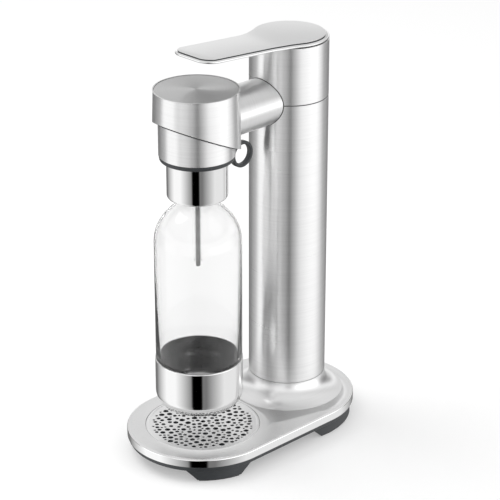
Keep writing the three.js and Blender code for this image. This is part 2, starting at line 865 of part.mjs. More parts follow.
// Gas cylinder, its valve and the parts that open it.
function gasCylinder() {
  const footSide = [cylinderRadius, cylinderFoot + cylinderFootRound];
  const footFlat = [cylinderRadius - cylinderFootRound, cylinderFoot];
  const foot = quarterCurve(footSide, footFlat, roundPowers, innerSteps).reverse();
  const domeTop = [cylinderNeckRadius, cylinderNeckFoot];
  const dome = quarterCurve([cylinderRadius, cylinderShoulder], domeTop, roundPowers, curveSteps);
  const inside = cylinderRadius - cylinderWall;
  const roof = [cylinderNeckBore, cylinderNeckFoot - cylinderWall];
  const innerDome = quarterCurve([inside, cylinderShoulder], roof, roundPowers, innerSteps).reverse();
  const well = [footFlat[0], cylinderFoot + cylinderWall];
  const innerFoot = quarterCurve([inside, footSide[1]], well, roundPowers, edgeSteps);
  return turned([
    [0, cylinderFoot], ...foot, ...dome, [cylinderNeckRadius, cylinderNeckTop],
    [cylinderNeckBore, cylinderNeckTop], ...innerDome, ...innerFoot, [0, cylinderFoot + cylinderWall],
  ], midSides, 0, columnBack);
}

function cylinderValve() {
  const low = cylinderNeckTop + seatGap;
  const bore = valvePinRadius + seatGap;
  const boreFoot = cylinderValveTop + valvePinRise - valvePinLength - valvePinRoom;
  const stem = cylinderNeckBore - seatGap;
  const stemFoot = cylinderNeckTop - cylinderStemLength;
  return turned([
    [0, stemFoot], [stem, stemFoot], [stem, low], [cylinderValveRadius, low],
    [cylinderValveRadius, cylinderValveTop], [bore, cylinderValveTop], [bore, boreFoot], [0, boreFoot],
  ], smallSides, 0, columnBack);
}

function valvePin() {
  const top = cylinderValveTop + valvePinRise;
  return disc(valvePinRadius, top - valvePinLength, top, smallSides, 0, columnBack);
}

function valveBody() {
  const socket = cylinderValveRadius + seatGap;
  const socketTop = cylinderValveTop + valveSealHeight + seatGap * 2;
  const bore = plungerRadius + runGap;
  const flangeFoot = corePlateTop + seatGap;
  const body = turned([
    [socket, valveBodyFoot], [valveBodyRadius, valveBodyFoot], [valveBodyRadius, flangeFoot],
    [valveFlangeRadius, flangeFoot], [valveFlangeRadius, valveBodyTop], [bore, valveBodyTop],
    [bore, socketTop], [socket, socketTop],
  ], midSides, 0, columnBack);
  const middle = [0, columnBack, pipeHeight];
  const reach = valveBodyRadius + overrun;
  const outlet = rod([0, columnBack - reach, pipeHeight], middle, passageRadius, smallSides);
  const relief = rod(middle, [reach, columnBack, pipeHeight], passageRadius, smallSides);
  return cut(body, outlet, relief);
}

function valveSeal() {
  const low = cylinderValveTop + seatGap;
  const outer = cylinderValveRadius - seatGap;
  return tube(outer - valveSealWidth, outer, low, low + valveSealHeight, smallSides, 0, columnBack);
}

function reliefValve() {
  const from = valveBodyRadius + seatGap;
  const to = from + reliefLength;
  return rod([from, columnBack, pipeHeight], [to, columnBack, pipeHeight], reliefRadius, smallSides);
}

function pipeNut() {
  const back = columnBack - valveBodyRadius - seatGap;
  const front = armEndY + seatGap * 2;
  const nut = rod([0, front, pipeHeight], [0, back, pipeHeight], nutRadius, nutSides);
  return cut(nut, gasPassage(front, back));
}

function gasPipe() {
  const back = armEndY + seatGap;
  const front = inletY + passageRadius;
  const pipe = rod([0, front, pipeHeight], [0, back, pipeHeight], pipeRadius, smallSides);
  return cut(pipe, gasPassage(front, back));
}

// The gas way through a piece on the pipe's line.
function gasPassage(front, back) {
  const [from, to] = [front - overrun, back + overrun];
  return rod([0, from, pipeHeight], [0, to, pipeHeight], passageRadius, smallSides);
}

// Height of the plunger's sloped head at a distance along Y.
function followerTop(y) {
  return collarFoot + collarThickness + followerEdge + wedgeSlope * (y - columnBack + followerHalfDepth);
}

// Plunger: stem, spring collar and a sloped head that the wedge presses down.
function valvePlunger() {
  const low = cylinderValveTop + valvePinRise + runGap;
  const collarTop = collarFoot + collarThickness;
  const stem = turned([
    [0, low], [plungerRadius, low], [plungerRadius, collarFoot], [collarRadius, collarFoot],
    [collarRadius, collarTop], [0, collarTop],
  ], smallSides, 0, columnBack);
  const [front, back] = [columnBack - followerHalfDepth, columnBack + followerHalfDepth];
  const head = slab([
    [front, collarFoot], [back, collarFoot], [back, followerTop(back)], [front, followerTop(front)],
  ], followerHalfWidth);
  const round = disc(followerHalfWidth + followerEdge, collarFoot, sliderBarTop, midSides, 0, columnBack);
  return joined(stem, head.intersect(round));
}

// The spring's middle line.
class Helix extends THREE.Curve {
  getPoint(share, target = new THREE.Vector3()) {
    const turn = share * springTurns * Math.PI * 2;
    const low = valveBodyTop + seatGap + springWire / 2;
    const high = collarFoot - seatGap - springWire / 2;
    return target.set(
      springRadius * Math.cos(turn), columnBack + springRadius * Math.sin(turn), low + (high - low) * share,
    );
  }
}

function plungerSpring() {
  const wire = new THREE.Shape();
  for (let i = 0; i < springSides; i += 1) {
    const turn = (i / springSides) * Math.PI * 2;
    const [x, y] = [(springWire / 2) * Math.cos(turn), (springWire / 2) * Math.sin(turn)];
    if (i === 0) wire.moveTo(x, y);
    else wire.lineTo(x, y);
  }
  wire.closePath();
  const steps = springTurns * springSteps;
  return solidOf(new THREE.ExtrudeGeometry(wire, { steps, extrudePath: new Helix(), bevelEnabled: false }));
}

// Wedge slider: a bar that the lever pushes back, with the slope that presses the plunger.
function wedgeSlider() {
  const lift = seatGap / Math.cos(THREE.MathUtils.degToRad(wedgeDegrees));
  const front = pivotY + noseRadius + seatGap;
  const slopeFront = columnBack - followerHalfDepth;
  const slopeBack = columnBack + followerHalfDepth + seatGap;
  const foot = followerTop(slopeFront) + lift;
  const heel = followerTop(slopeBack) + lift;
  const bar = slab([
    [front, foot], [slopeFront, foot], [slopeBack, heel], [sliderBack, heel],
    [sliderBack, sliderBarTop], [front, sliderBarTop],
  ], sliderHalfWidth);
  const keel = box(
    [-sliderHalfWidth, columnBack - cheekFront, sliderBarTop - overrun],
    [sliderHalfWidth, sliderBack, topPlateTop - topPlateThickness - runGap],
  );
  return joined(bar, keel);
}

// Lever: a disc over the column and a paddle towards the front, with a rounded rim.
// Half of the plan's width at a distance along Y, for an outline grown by the rim.
function leverHalf(y, grow) {
  const paddle = leverHalfWidth + grow * leverPlanShare;
  const radius = leverDiscRadius + grow;
  const fillet = leverFillet;
  const filletX = paddle + fillet;
  const filletY = columnBack - Math.sqrt((fillet + radius) ** 2 - filletX ** 2);
  const tangentY = columnBack + ((filletY - columnBack) * radius) / (fillet + radius);
  const corner = leverCorner + grow;
  const tipY = -leverTip - grow * leverPlanShare;
  if (y >= tangentY) return Math.sqrt(Math.max(0, radius ** 2 - (y - columnBack) ** 2));
  if (y >= filletY) return filletX - Math.sqrt(fillet ** 2 - (y - filletY) ** 2);
  if (y >= tipY + corner) return paddle;
  return paddle - corner + Math.sqrt(Math.max(0, corner ** 2 - (tipY + corner - y) ** 2));
}

// How far the paddle climbs above the disc's level, easing in over the bend.
function leverRise(y) {
  const ahead = pivotY - y;
  if (ahead <= 0) return 0;
  if (ahead < leverBendEase) return (leverRisePerLength * ahead ** 2) / (leverBendEase * 2);
  return leverRisePerLength * (ahead - leverBendEase / 2);
}

// One cross-section of the lever at a share of its length, through all layers of its rim.
function leverLoop(share, layers) {
  const right = [];
  for (const [grow, height] of layers) {
    const low = -leverTip - grow * leverPlanShare;
    const high = columnBack + leverDiscRadius + grow;
    const place = low + (high - low) * share;
    right.push([leverHalf(place, grow), place, leverFoot + height + leverRise(place)]);
  }
  const left = right.map(([x, place, z]) => [-x, place, z]).reverse();
  return [...right, ...left];
}

// A body over cross-sections that stand close together where the plan turns at its two ends.
function leverShell(layers) {
  const loops = [];
  for (let i = 0; i <= leverStations; i += 1) {
    const share = (1 - Math.cos((i / leverStations) * Math.PI)) / 2;
    loops.push(leverLoop(THREE.MathUtils.clamp(share, leverEndShare, 1 - leverEndShare), layers));
  }
  return skinned(loops);
}

function leverFrame() {
  const frame = leverShell(leverRimShares.map(([out, up]) => [leverRim * out, leverThickness * up]));
  const seatFoot = leverThickness - leverSkin;
  const skinSeat = leverShell([[-leverSkinInset, seatFoot], [-leverSkinInset, leverThickness + overrun]]);
  const pocket = box(
    [-leverPocketHalfWidth, columnBack - leverPocketLead, leverFoot - overrun],
    [leverPocketHalfWidth, columnBack - leverPocketTail, leverFoot + leverPocketDepth],
  );
  return cut(frame, skinSeat, pocket);
}

// The brushed skin in the frame's top.
function leverTop() {
  const inset = -leverSkinInset - seatGap;
  return leverShell([[inset, leverThickness - leverSkin + seatGap], [inset, leverThickness]]);
}

// Bracket under the lever: flange, hub on the pin and the nose that pushes the slider.
function leverBracket() {
  const ceiling = leverFoot + leverPocketDepth - seatGap;
  const flange = box(
    [-bracketFlangeHalfWidth, pivotY - bracketFlangeInset, ceiling - bracketFlangeThickness],
    [bracketFlangeHalfWidth, columnBack - bracketFlangeLead, ceiling],
  );
  const noseZ = pivotHeight - noseDrop;
  const upright = box(
    [-bracketHalfWidth, pivotY - bracketFlangeInset, pivotHeight],
    [bracketHalfWidth, pivotY + bracketFlangeInset, ceiling - bracketFlangeThickness / 2],
  );
  const leg = box(
    [-bracketHalfWidth, pivotY - noseRadius / 2, noseZ],
    [bracketHalfWidth, pivotY + noseRadius / 2, pivotHeight],
  );
  const hub = crossRod(pivotY, pivotHeight, hubRadius, bracketHalfWidth);
  const nose = crossRod(pivotY, noseZ, noseRadius, bracketHalfWidth);
  const bore = crossRod(pivotY, pivotHeight, pivotPinRadius + seatGap, bracketHalfWidth + overrun);
  return cut(joined(flange, upright, leg, hub, nose), bore);
}

// A round rod across the middle plane.
function crossRod(y, z, radius, halfWidth) {
  return rod([-halfWidth, y, z], [halfWidth, y, z], radius, smallSides);
}

function leverPin() {
  return crossRod(pivotY, pivotHeight, pivotPinRadius, slotHalfWidth + lugThickness);
}

// Arm between the column and the head, cut to the head's round wall.
function armTube() {
  const front = -bottleForward;
  const flangeFront = armEndY - armFlange;
  const [holeFront, holeBack] = [flangeFront - overrun, armEndY + overrun];
  const outer = rod([0, front, armHeight], [0, armEndY, armHeight], armRadius, midSides);
  const innerRadius = armRadius - armWall;
  const inner = rod([0, front - overrun, armHeight], [0, flangeFront, armHeight], innerRadius, midSides);
  const pipeRoom = pipeRadius + seatGap;
  const pipeHole = rod([0, holeFront, pipeHeight], [0, holeBack, pipeHeight], pipeRoom, smallSides);
  const head = disc(headRadius + seatGap, coreFoot, columnTop, bigSides, 0, -bottleForward);
  let arm = cut(outer, inner, pipeHole, head);
  for (const side of [-1, 1]) {
    arm = cut(arm, armScrewRod(side, holeFront, holeBack, armScrewRadius + seatGap));
  }
  return arm;
}

// Head shell, cut along the slant at its foot and open to the arm at its back.
function headHousing() {
  const foot = slantAt(-bottleForward + headRadius) - overrun;
  const shell = turned([
    [headInner, foot], [headRadius, foot], [headRadius, headTop - headEdge], [headRadius - headEdge, headTop],
    [headInner, headTop],
  ], bigSides, 0, -bottleForward);
  const socketRadius = armRadius - armWall + seatGap;
  const socket = rod([0, -bottleForward, armHeight], [0, 0, armHeight], socketRadius, midSides);
  return cut(shell, belowSlant(0), socket);
}

function headDisc() {
  const top = headTop - headDiscDrop;
  return disc(headInner - seatGap, top - headDiscThickness, top, bigSides, 0, -bottleForward);
}

// Block in the head: rails for the cap's boss, the gas way and a spigot into the arm.
function dockingBlock() {
  const outer = headInner - seatGap;
  const top = headTop - headDiscDrop - headDiscThickness - seatGap;
  const foot = slantAt(-bottleForward + outer) + blockRecess - overrun;
  const spigotRadius = armRadius - armWall - seatGap;
  const spigotBack = -bottleForward + headRadius + spigotLength;
  const spigotEnd = [0, spigotBack, armHeight];
  const spigot = rod([0, -bottleForward, armHeight], spigotEnd, spigotRadius, midSides);
  const core = disc(outer, foot, top, bigSides, 0, -bottleForward);
  const block = cut(joined(core, spigot), belowSlant(blockRecess));
  const front = -bottleForward - headRadius - overrun;
  const channelBack = bossBack + runGap;
  const flangeChannel = box(
    [-bossFlangeHalfWidth - runGap, front, flangeFoot - runGap],
    [bossFlangeHalfWidth + runGap, channelBack, bossTop + runGap],
  );
  const stemChannel = box(
    [-bossStemHalfWidth - runGap, front, foot - headRadius],
    [bossStemHalfWidth + runGap, channelBack, bossTop],
  );
  const pocket = disc(pocketRadius, pocketFloor, headTop, midSides, 0, -bottleForward - pocketForward);
  const boreBack = spigotBack + overrun;
  const boreRadius = pipeRadius + seatGap;
  const pipeBore = rod([0, inletY, pipeHeight], [0, boreBack, pipeHeight], boreRadius, smallSides);
  const passage = disc(passageRadius, bossTop, pipeHeight, smallSides, 0, inletY);
  const seatTop = bossTop + runGap + sealHeight;
  const sealSeat = disc(sealOuter + seatGap, bossTop, seatTop, smallSides, 0, inletY);
  return cut(block, flangeChannel, stemChannel, pocket, pipeBore, passage, sealSeat);
}

function injectorSeal() {
  const low = bossTop + seatGap;
  return tube(sealInner, sealOuter, low, low + sealHeight - seatGap / 2, smallSides, 0, inletY);
}

// Cap's steel shell, cut along the slant at its top.
function capShell() {
  const roof = slantAt(-bottleForward - capRadius) + overrun;
  const shell = tube(capInner, capRadius, capRingTop, roof, bigSides, 0, -bottleForward);
  return cut(shell, aboveSlant(-partingGap));
}

// The release ring's nose, grown by a clearance.
function noseOutline(grow) {
  const [back, front] = [hingeY, hingeY - noseLength - grow];
  const [low, high] = [hingeHeight - noseThickness / 2 - grow, hingeHeight + noseThickness / 2 + grow];
  return slab([[front, low], [back, low], [back, high], [front, high]], hingeHalfWidth + grow);
}

// A tool turned about the release hinge, by degrees that lift its front end.
function turnedAboutHinge(solid, degrees) {
  const geometry = geometryOf(solid);
  geometry.translate(0, -hingeY, -hingeHeight);
  geometry.rotateX(-THREE.MathUtils.degToRad(degrees));
  geometry.translate(0, hingeY, hingeHeight);
  return solidOf(geometry);
}

// The room that the nose needs over the whole swing of the release ring.
function noseRoom() {
  const swings = [];
  for (let i = 0; i <= releaseSteps; i += 1) {
    swings.push(turnedAboutHinge(noseOutline(runGap), releaseDegrees * (i / releaseSteps)));
  }
  return joined(...swings);
}

// Cap's core: socket for the bottle's neck, seat of the tube, gas way and the boss on the rails.
function capCore() {
  const roof = slantAt(-bottleForward - capInner) + overrun;
  const outer = capInner - seatGap;
  const waist = capRingInner - seatGap;
  const plug = collarInner - seatGap;
  const sealTop = bottleTop + neckSealHeight + seatGap * 2;
  const seatTop = sealTop + tubeSeatDepth;
  const tubeSeat = sleeveRadius + seatGap;
  const lipTop = capCollarFoot + capCollarRound + seatGap;
  const body = turned([
    [0, seatTop], [tubeSeat, seatTop], [tubeSeat, sealTop], [socketRadius, sealTop], [socketRadius, lipTop],
    [plug, lipTop], [plug, capRingFoot], [waist, capRingFoot], [waist, capRingTop + seatGap],
    [outer, capRingTop + seatGap], [outer, roof], [0, roof],
  ], bigSides, 0, -bottleForward);
  let core = cut(body, aboveSlant(-partingGap - seatGap));
  const stemFoot = slantAt(bossBack) - partingGap - seatGap - overrun;
  const stemTop = bossTop - bossFlange / 2;
  const stem = box([-bossStemHalfWidth, bossFront, stemFoot], [bossStemHalfWidth, bossBack, stemTop]);
  const flange = box([-bossFlangeHalfWidth, bossFront, flangeFoot], [bossFlangeHalfWidth, bossBack, bossTop]);
  core = joined(core, stem, flange);
  const inletFoot = bossTop - inletDepth;
  const inletSeat = disc(sealOuter + seatGap, inletFoot, bossTop + overrun, smallSides, 0, inletY);
  const bendZ = seatTop + passageRadius;
  const drop = disc(passageRadius, bendZ - passageRadius, bossTop, smallSides, 0, inletY);
  const run = rod([0, inletY, bendZ], [0, -bottleForward, bendZ], passageRadius, smallSides);
  const entry = disc(passageRadius, seatTop - overrun, bendZ, smallSides, 0, -bottleForward);
  core = cut(core, inletSeat, drop, run, entry);
  const poppetTop = hingeHeight - noseThickness / 2 - runGap;
  const poppetRise = poppetForward * THREE.MathUtils.degToRad(releaseDegrees);
  const [boreFoot, boreTop] = [poppetTop - poppetLength, poppetTop + poppetRise + runGap];
  const poppetBore = disc(poppetRadius + runGap, boreFoot, boreTop, smallSides, 0, hingeY - poppetForward);
  return cut(core, poppetBore, noseRoom());
}

// Dark ring under the cap's shell, with the two ears of the release ring's hinge.
function capRing() {
  const outer = capRadius - capRingInset;
  const ringTop = capRingTop - seatGap;
  const ringLow = capRingFoot + seatGap;
  let ring = tube(capRingInner, outer, ringLow, ringTop, bigSides, 0, -bottleForward);
  for (const side of [-1, 1]) {
    const near = hingeHalfWidth + runGap;
    const far = near + hingeEarThickness;
    const [low, high] = [Math.min(side * near, side * far), Math.max(side * near, side * far)];
    const root = box([low, hingeY - hingeRadius * 2, ringLow], [high, hingeY, ringTop]);
    const eye = rod([low, hingeY, hingeHeight], [high, hingeY, hingeHeight], hingeRadius, smallSides);
    ring = joined(ring, root, eye);
  }
  const reach = hingeHalfWidth + runGap + hingeEarThickness + overrun;
  return cut(ring, crossRod(hingeY, hingeHeight, hingePinRadius + seatGap, reach), noseRoom());
}

// Polished collar around the bottle's neck, rounded in to a lip at its foot.
function capCollar() {
  const top = capRingFoot;
  const roundTop = capCollarFoot + capCollarRound;
  const lipTop = capCollarFoot + collarWall;
  const footFlat = [collarOuter - capCollarRound, capCollarFoot];
  const foot = quarterCurve([collarOuter, roundTop], footFlat, roundPowers, innerSteps).reverse();
  const lip = collarInner - collarLip;
  return turned([
    [lip, lipTop], [lip, capCollarFoot], ...foot, [collarOuter, top], [collarInner, top],
    [collarInner, roundTop], [collarInner - collarWall, lipTop],
  ], bottleSides, 0, -bottleForward);
}

function inletValve() {
  const top = bossTop - seatGap;
  const low = bossTop - inletDepth + seatGap;
  return tube(sealInner, sealOuter, low, top, smallSides, 0, inletY);
}

function neckSeal() {
  const low = bottleTop + seatGap;
  const outer = bottleNeckRadius;
  return tube(outer - neckSealWidth, outer, low, low + neckSealHeight, midSides, 0, -bottleForward);
}

// Steel tube that carries the gas down into the bottle, with a tapered end.
function carbonatingTube() {
  const top = bottleTop + neckSealHeight + seatGap + tubeSeatDepth;
  const low = sleeveFoot - tubeShow;
  return turned([
    [tubeBore, low], [tubeRadius - tubeBore / 2, low], [tubeRadius, low + tubeBore], [tubeRadius, top],
    [tubeBore, top],
  ], smallSides, 0, -bottleForward);
}

// Clear sleeve round the steel tube.
function tubeSleeve() {
  const top = bottleTop + neckSealHeight + seatGap + tubeSeatDepth;
  return turned([
    [sleeveBore, sleeveFoot], [sleeveRadius - sleeveRound, sleeveFoot],
    [sleeveRadius, sleeveFoot + sleeveRound], [sleeveRadius, top], [sleeveBore, top],
  ], smallSides, 0, -bottleForward);
}

// Release ring: finger ring, arm, eye and the nose that lifts the vent poppet.
function releaseRing() {
  const [ringY, ringZ] = [hingeY + ringReach, hingeHeight - ringDrop];
  const edge = ringEdge;
  const [inner, outer, half] = [ringRadius - ringBand, ringRadius, ringHalfWidth];
  const profile = [
    [inner, -half + edge], [inner + edge, -half], [outer - edge, -half], [outer, -half + edge],
    [outer, half - edge], [outer - edge, half], [inner + edge, half], [inner, half - edge],
  ];
  const points = [...profile, profile[0]].map(([radius, across]) => new THREE.Vector2(radius, across));
  const band = new THREE.LatheGeometry(points, midSides);
  band.rotateZ(-Math.PI / 2);
  band.translate(0, ringY, ringZ);
  const fingerHole = rod([-half * 2, ringY, ringZ], [half * 2, ringY, ringZ], inner + edge / 2, midSides);
  const [armLow, armHigh] = [hingeHeight - ringArmThickness / 2, hingeHeight + ringArmThickness / 2];
  const arm = slab([
    [hingeY, armLow], [ringY, ringZ + inner], [ringY, ringZ + outer - edge], [hingeY, armHigh],
  ], hingeHalfWidth);
  const eye = crossRod(hingeY, hingeHeight, hingeRadius, hingeHalfWidth);
  const bore = crossRod(hingeY, hingeHeight, hingePinRadius + seatGap, hingeHalfWidth + overrun);
  return cut(joined(solidOf(band), cut(arm, fingerHole), eye, noseOutline(0)), bore);
}

function ringPin() {
  return crossRod(hingeY, hingeHeight, hingePinRadius, hingeHalfWidth + runGap + hingeEarThickness);
}

// The vent poppet stands under the nose's front end and rises with it.
function ventPoppet() {
  const top = hingeHeight - noseThickness / 2 - runGap;
  const y = hingeY - poppetForward;
  return disc(poppetRadius, top - poppetLength + runGap, top, smallSides, 0, y);
}

// Bottle: one wall from the foot to the threaded neck.
function bottleBody() {
  const waist = cupRadius - cupSheet - seatGap;
  const step = cupRim + seatGap;
  const footEnd = [cupFootRadius - cupSheet, cupFoot + cupSheet + seatGap];
  const outsideFoot = quarterCurve([waist, cupBend], footEnd, roundPowers, curveSteps).reverse();
  const neckEnd = [bottleNeckRadius, bottleNeckFoot];
  const shoulder = quarterCurve([bottleRadius, bottleShoulder], neckEnd, shoulderPowers, curveSteps);
  const threadTop = bottleTop - threadDrop;
  const thread = [
    [bottleNeckRadius, threadTop - threadHeight],
    [bottleNeckRadius + threadReach, threadTop - threadHeight / 2],
    [bottleNeckRadius, threadTop],
  ];
  const inner = bottleRadius - bottleWall;
  const innerWaist = waist - bottleWall;
  const innerNeck = bottleNeckRadius - bottleWall;
  const innerNeckEnd = [innerNeck, bottleNeckFoot - bottleWall];
  const innerShoulder = [inner, bottleShoulder];
  const insideShoulder = quarterCurve(innerShoulder, innerNeckEnd, shoulderPowers, curveSteps).reverse();
  const floor = footEnd[1] + bottleFootRise;
  const innerFootEnd = [footEnd[0] - bottleWall, floor];
  const insideFoot = quarterCurve([innerWaist, cupBend], innerFootEnd, roundPowers, innerSteps);
  return turned([
    [0, footEnd[1]], ...outsideFoot, [waist, step], [bottleRadius, step], ...shoulder, ...thread,
    [bottleNeckRadius, bottleTop], [innerNeck, bottleTop], ...insideShoulder,
    [inner, step + bottleWall], [innerWaist, step], ...insideFoot, [0, floor],
  ], bottleSides, 0, -bottleForward);
}

// The metal cup on the bottle's foot.
function bottleCup() {
  const [inner, floor] = [cupRadius - cupSheet, cupFoot + cupSheet];
  const footEnd = [cupFootRadius, cupFoot];
  const outside = quarterCurve([cupRadius, cupBend], footEnd, roundPowers, curveSteps).reverse();
  const inside = quarterCurve([inner, cupBend], [cupFootRadius - cupSheet, floor], roundPowers, curveSteps);
  return turned([
    [0, cupFoot], ...outside, [cupRadius, cupRim], [inner, cupRim], ...inside, [0, floor],
  ], bottleSides, 0, -bottleForward);
}

// Finishes: colour, roughness and metalness of each kind of surface.
const finishes = {
  brushedSteel: { color: 0xc9cbcd, roughness: 0.35, metalness: 1 },
  polishedSteel: { color: 0xdfe1e3, roughness: 0.08, metalness: 1 },
  darkPlastic: { color: 0x2b2e31, roughness: 0.5, metalness: 0 },
  rubber: { color: 0x1c1d1e, roughness: 0.85, metalness: 0 },
  clearPlastic: { color: 0xf3f6f7, roughness: 0.05, metalness: 0, transparent: true, opacity: 0.3 },
  brass: { color: 0xb99a55, roughness: 0.35, metalness: 1 },
  castAlloy: { color: 0x9b9ea1, roughness: 0.6, metalness: 1 },
  cylinderPaint: { color: 0x8fa3ad, roughness: 0.4, metalness: 0.2 },
};

const group = new THREE.Group();

function place(name, finish, solid) {
  const mesh = new THREE.Mesh(geometryOf(solid), new THREE.MeshStandardMaterial(finishes[finish]));
  mesh.name = name;
  group.add(mesh);
}

place('base_deck', 'brushedSteel', baseDeck());
place('base_underbody', 'darkPlastic', baseUnderbody());
for (const [corner, { angles, y }] of Object.entries(footPlaces())) {
  place(`foot_pad_${corner}`, 'rubber', footPad(angles, y));
}
for (const [corner, [x, y]] of Object.entries(screwPlaces())) {
  place(`deck_screw_${corner}`, 'polishedSteel', deckScrew(x, y));
}
place('drip_cup', 'darkPlastic', dripCup());
place('drip_grate', 'brushedSteel', dripGrate());
place('cylinder_cover', 'darkPlastic', cylinderCover());
place('cylinder_cushion', 'rubber', cylinderCushion());

place('lower_column', 'brushedSteel', lowerColumn());
place('upper_column', 'brushedSteel', upperColumn());
place('column_core', 'castAlloy', columnCore());
place('column_top_plate', 'darkPlastic', columnTopPlate());
place('arm_tube', 'brushedSteel', armTube());
place('arm_screw_left', 'polishedSteel', armScrew(-1));
place('arm_screw_right', 'polishedSteel', armScrew(1));

place('co2_cylinder', 'cylinderPaint', gasCylinder());
place('cylinder_valve', 'brass', cylinderValve());
place('valve_pin', 'polishedSteel', valvePin());
place('valve_body', 'brass', valveBody());
place('valve_seal', 'rubber', valveSeal());
place('relief_valve', 'brass', reliefValve());
place('pipe_nut', 'brass', pipeNut());
place('gas_pipe', 'polishedSteel', gasPipe());
place('valve_plunger', 'polishedSteel', valvePlunger());
place('plunger_spring', 'polishedSteel', plungerSpring());
place('wedge_slider', 'castAlloy', wedgeSlider());

place('lever_frame', 'polishedSteel', leverFrame());
place('lever_top', 'brushedSteel', leverTop());
place('lever_bracket', 'castAlloy', leverBracket());
place('lever_pin', 'polishedSteel', leverPin());

place('head_housing', 'brushedSteel', headHousing());
place('head_disc', 'brushedSteel', headDisc());
place('docking_block', 'darkPlastic', dockingBlock());
place('injector_seal', 'rubber', injectorSeal());

place('cap_shell', 'brushedSteel', capShell());
place('cap_core', 'darkPlastic', capCore());
place('cap_ring', 'darkPlastic', capRing());
place('cap_collar', 'polishedSteel', capCollar());
place('inlet_valve', 'rubber', inletValve());
place('neck_seal', 'rubber', neckSeal());
place('carbonating_tube', 'polishedSteel', carbonatingTube());
place('tube_sleeve', 'clearPlastic', tubeSleeve());
place('release_ring', 'darkPlastic', releaseRing());
place('ring_pin', 'polishedSteel', ringPin());
place('vent_poppet', 'polishedSteel', ventPoppet());

place('bottle', 'clearPlastic', bottleBody());
place('bottle_cup', 'polishedSteel', bottleCup());

export default group;
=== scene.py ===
"""Looks of a sparkling water maker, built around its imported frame.

Sizes in the classes are millimetres, and meshes are written in metres. +Z is up, the front looks
along -Y, and the origin is the middle of the base on the worktop.
"""

import logging
import math
from dataclasses import dataclass
from enum import Enum

import bmesh
import bpy
import numpy as np
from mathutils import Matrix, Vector
from mathutils.geometry import delaunay_2d_cdt


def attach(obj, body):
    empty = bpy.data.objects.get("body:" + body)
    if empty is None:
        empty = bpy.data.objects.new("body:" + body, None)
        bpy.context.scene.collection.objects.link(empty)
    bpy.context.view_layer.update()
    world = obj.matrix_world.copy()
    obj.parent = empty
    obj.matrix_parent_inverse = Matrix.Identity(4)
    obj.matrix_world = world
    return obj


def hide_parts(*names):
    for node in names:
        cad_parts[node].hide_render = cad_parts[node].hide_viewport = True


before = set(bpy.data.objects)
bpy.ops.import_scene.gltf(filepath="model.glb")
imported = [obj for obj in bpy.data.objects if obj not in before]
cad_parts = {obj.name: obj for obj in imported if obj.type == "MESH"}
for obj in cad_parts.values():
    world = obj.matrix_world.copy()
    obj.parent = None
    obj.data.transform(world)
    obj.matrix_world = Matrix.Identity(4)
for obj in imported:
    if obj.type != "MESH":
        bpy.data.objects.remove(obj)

log = logging.getLogger("water_maker")
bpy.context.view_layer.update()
MM = 0.001
QUARTER_TURN = math.pi / 2
HALF_TURN = math.pi
FULL_TURN = 2 * math.pi
COLUMN_Y = 66.0
BOTTLE_Y = -60.0
TRAY_Y = -56.0
Colour = tuple[float, float, float]
Profile = tuple[tuple[float, float], ...]
Stops = tuple[tuple[float, float], ...]
Socket = bpy.types.NodeSocket


# Materials


class Grain(Enum):
    """Which way the brush marks of a metal run, as marks per metre along X, Y and Z."""

    LEVEL = (14.0, 14.0, 800.0)
    ROUND = (14.0, 800.0, 14.0)
    CAST = (160.0, 160.0, 160.0)
    FINE = (900.0, 900.0, 900.0)
    RINGS = (900.0, 900.0, 0.0)


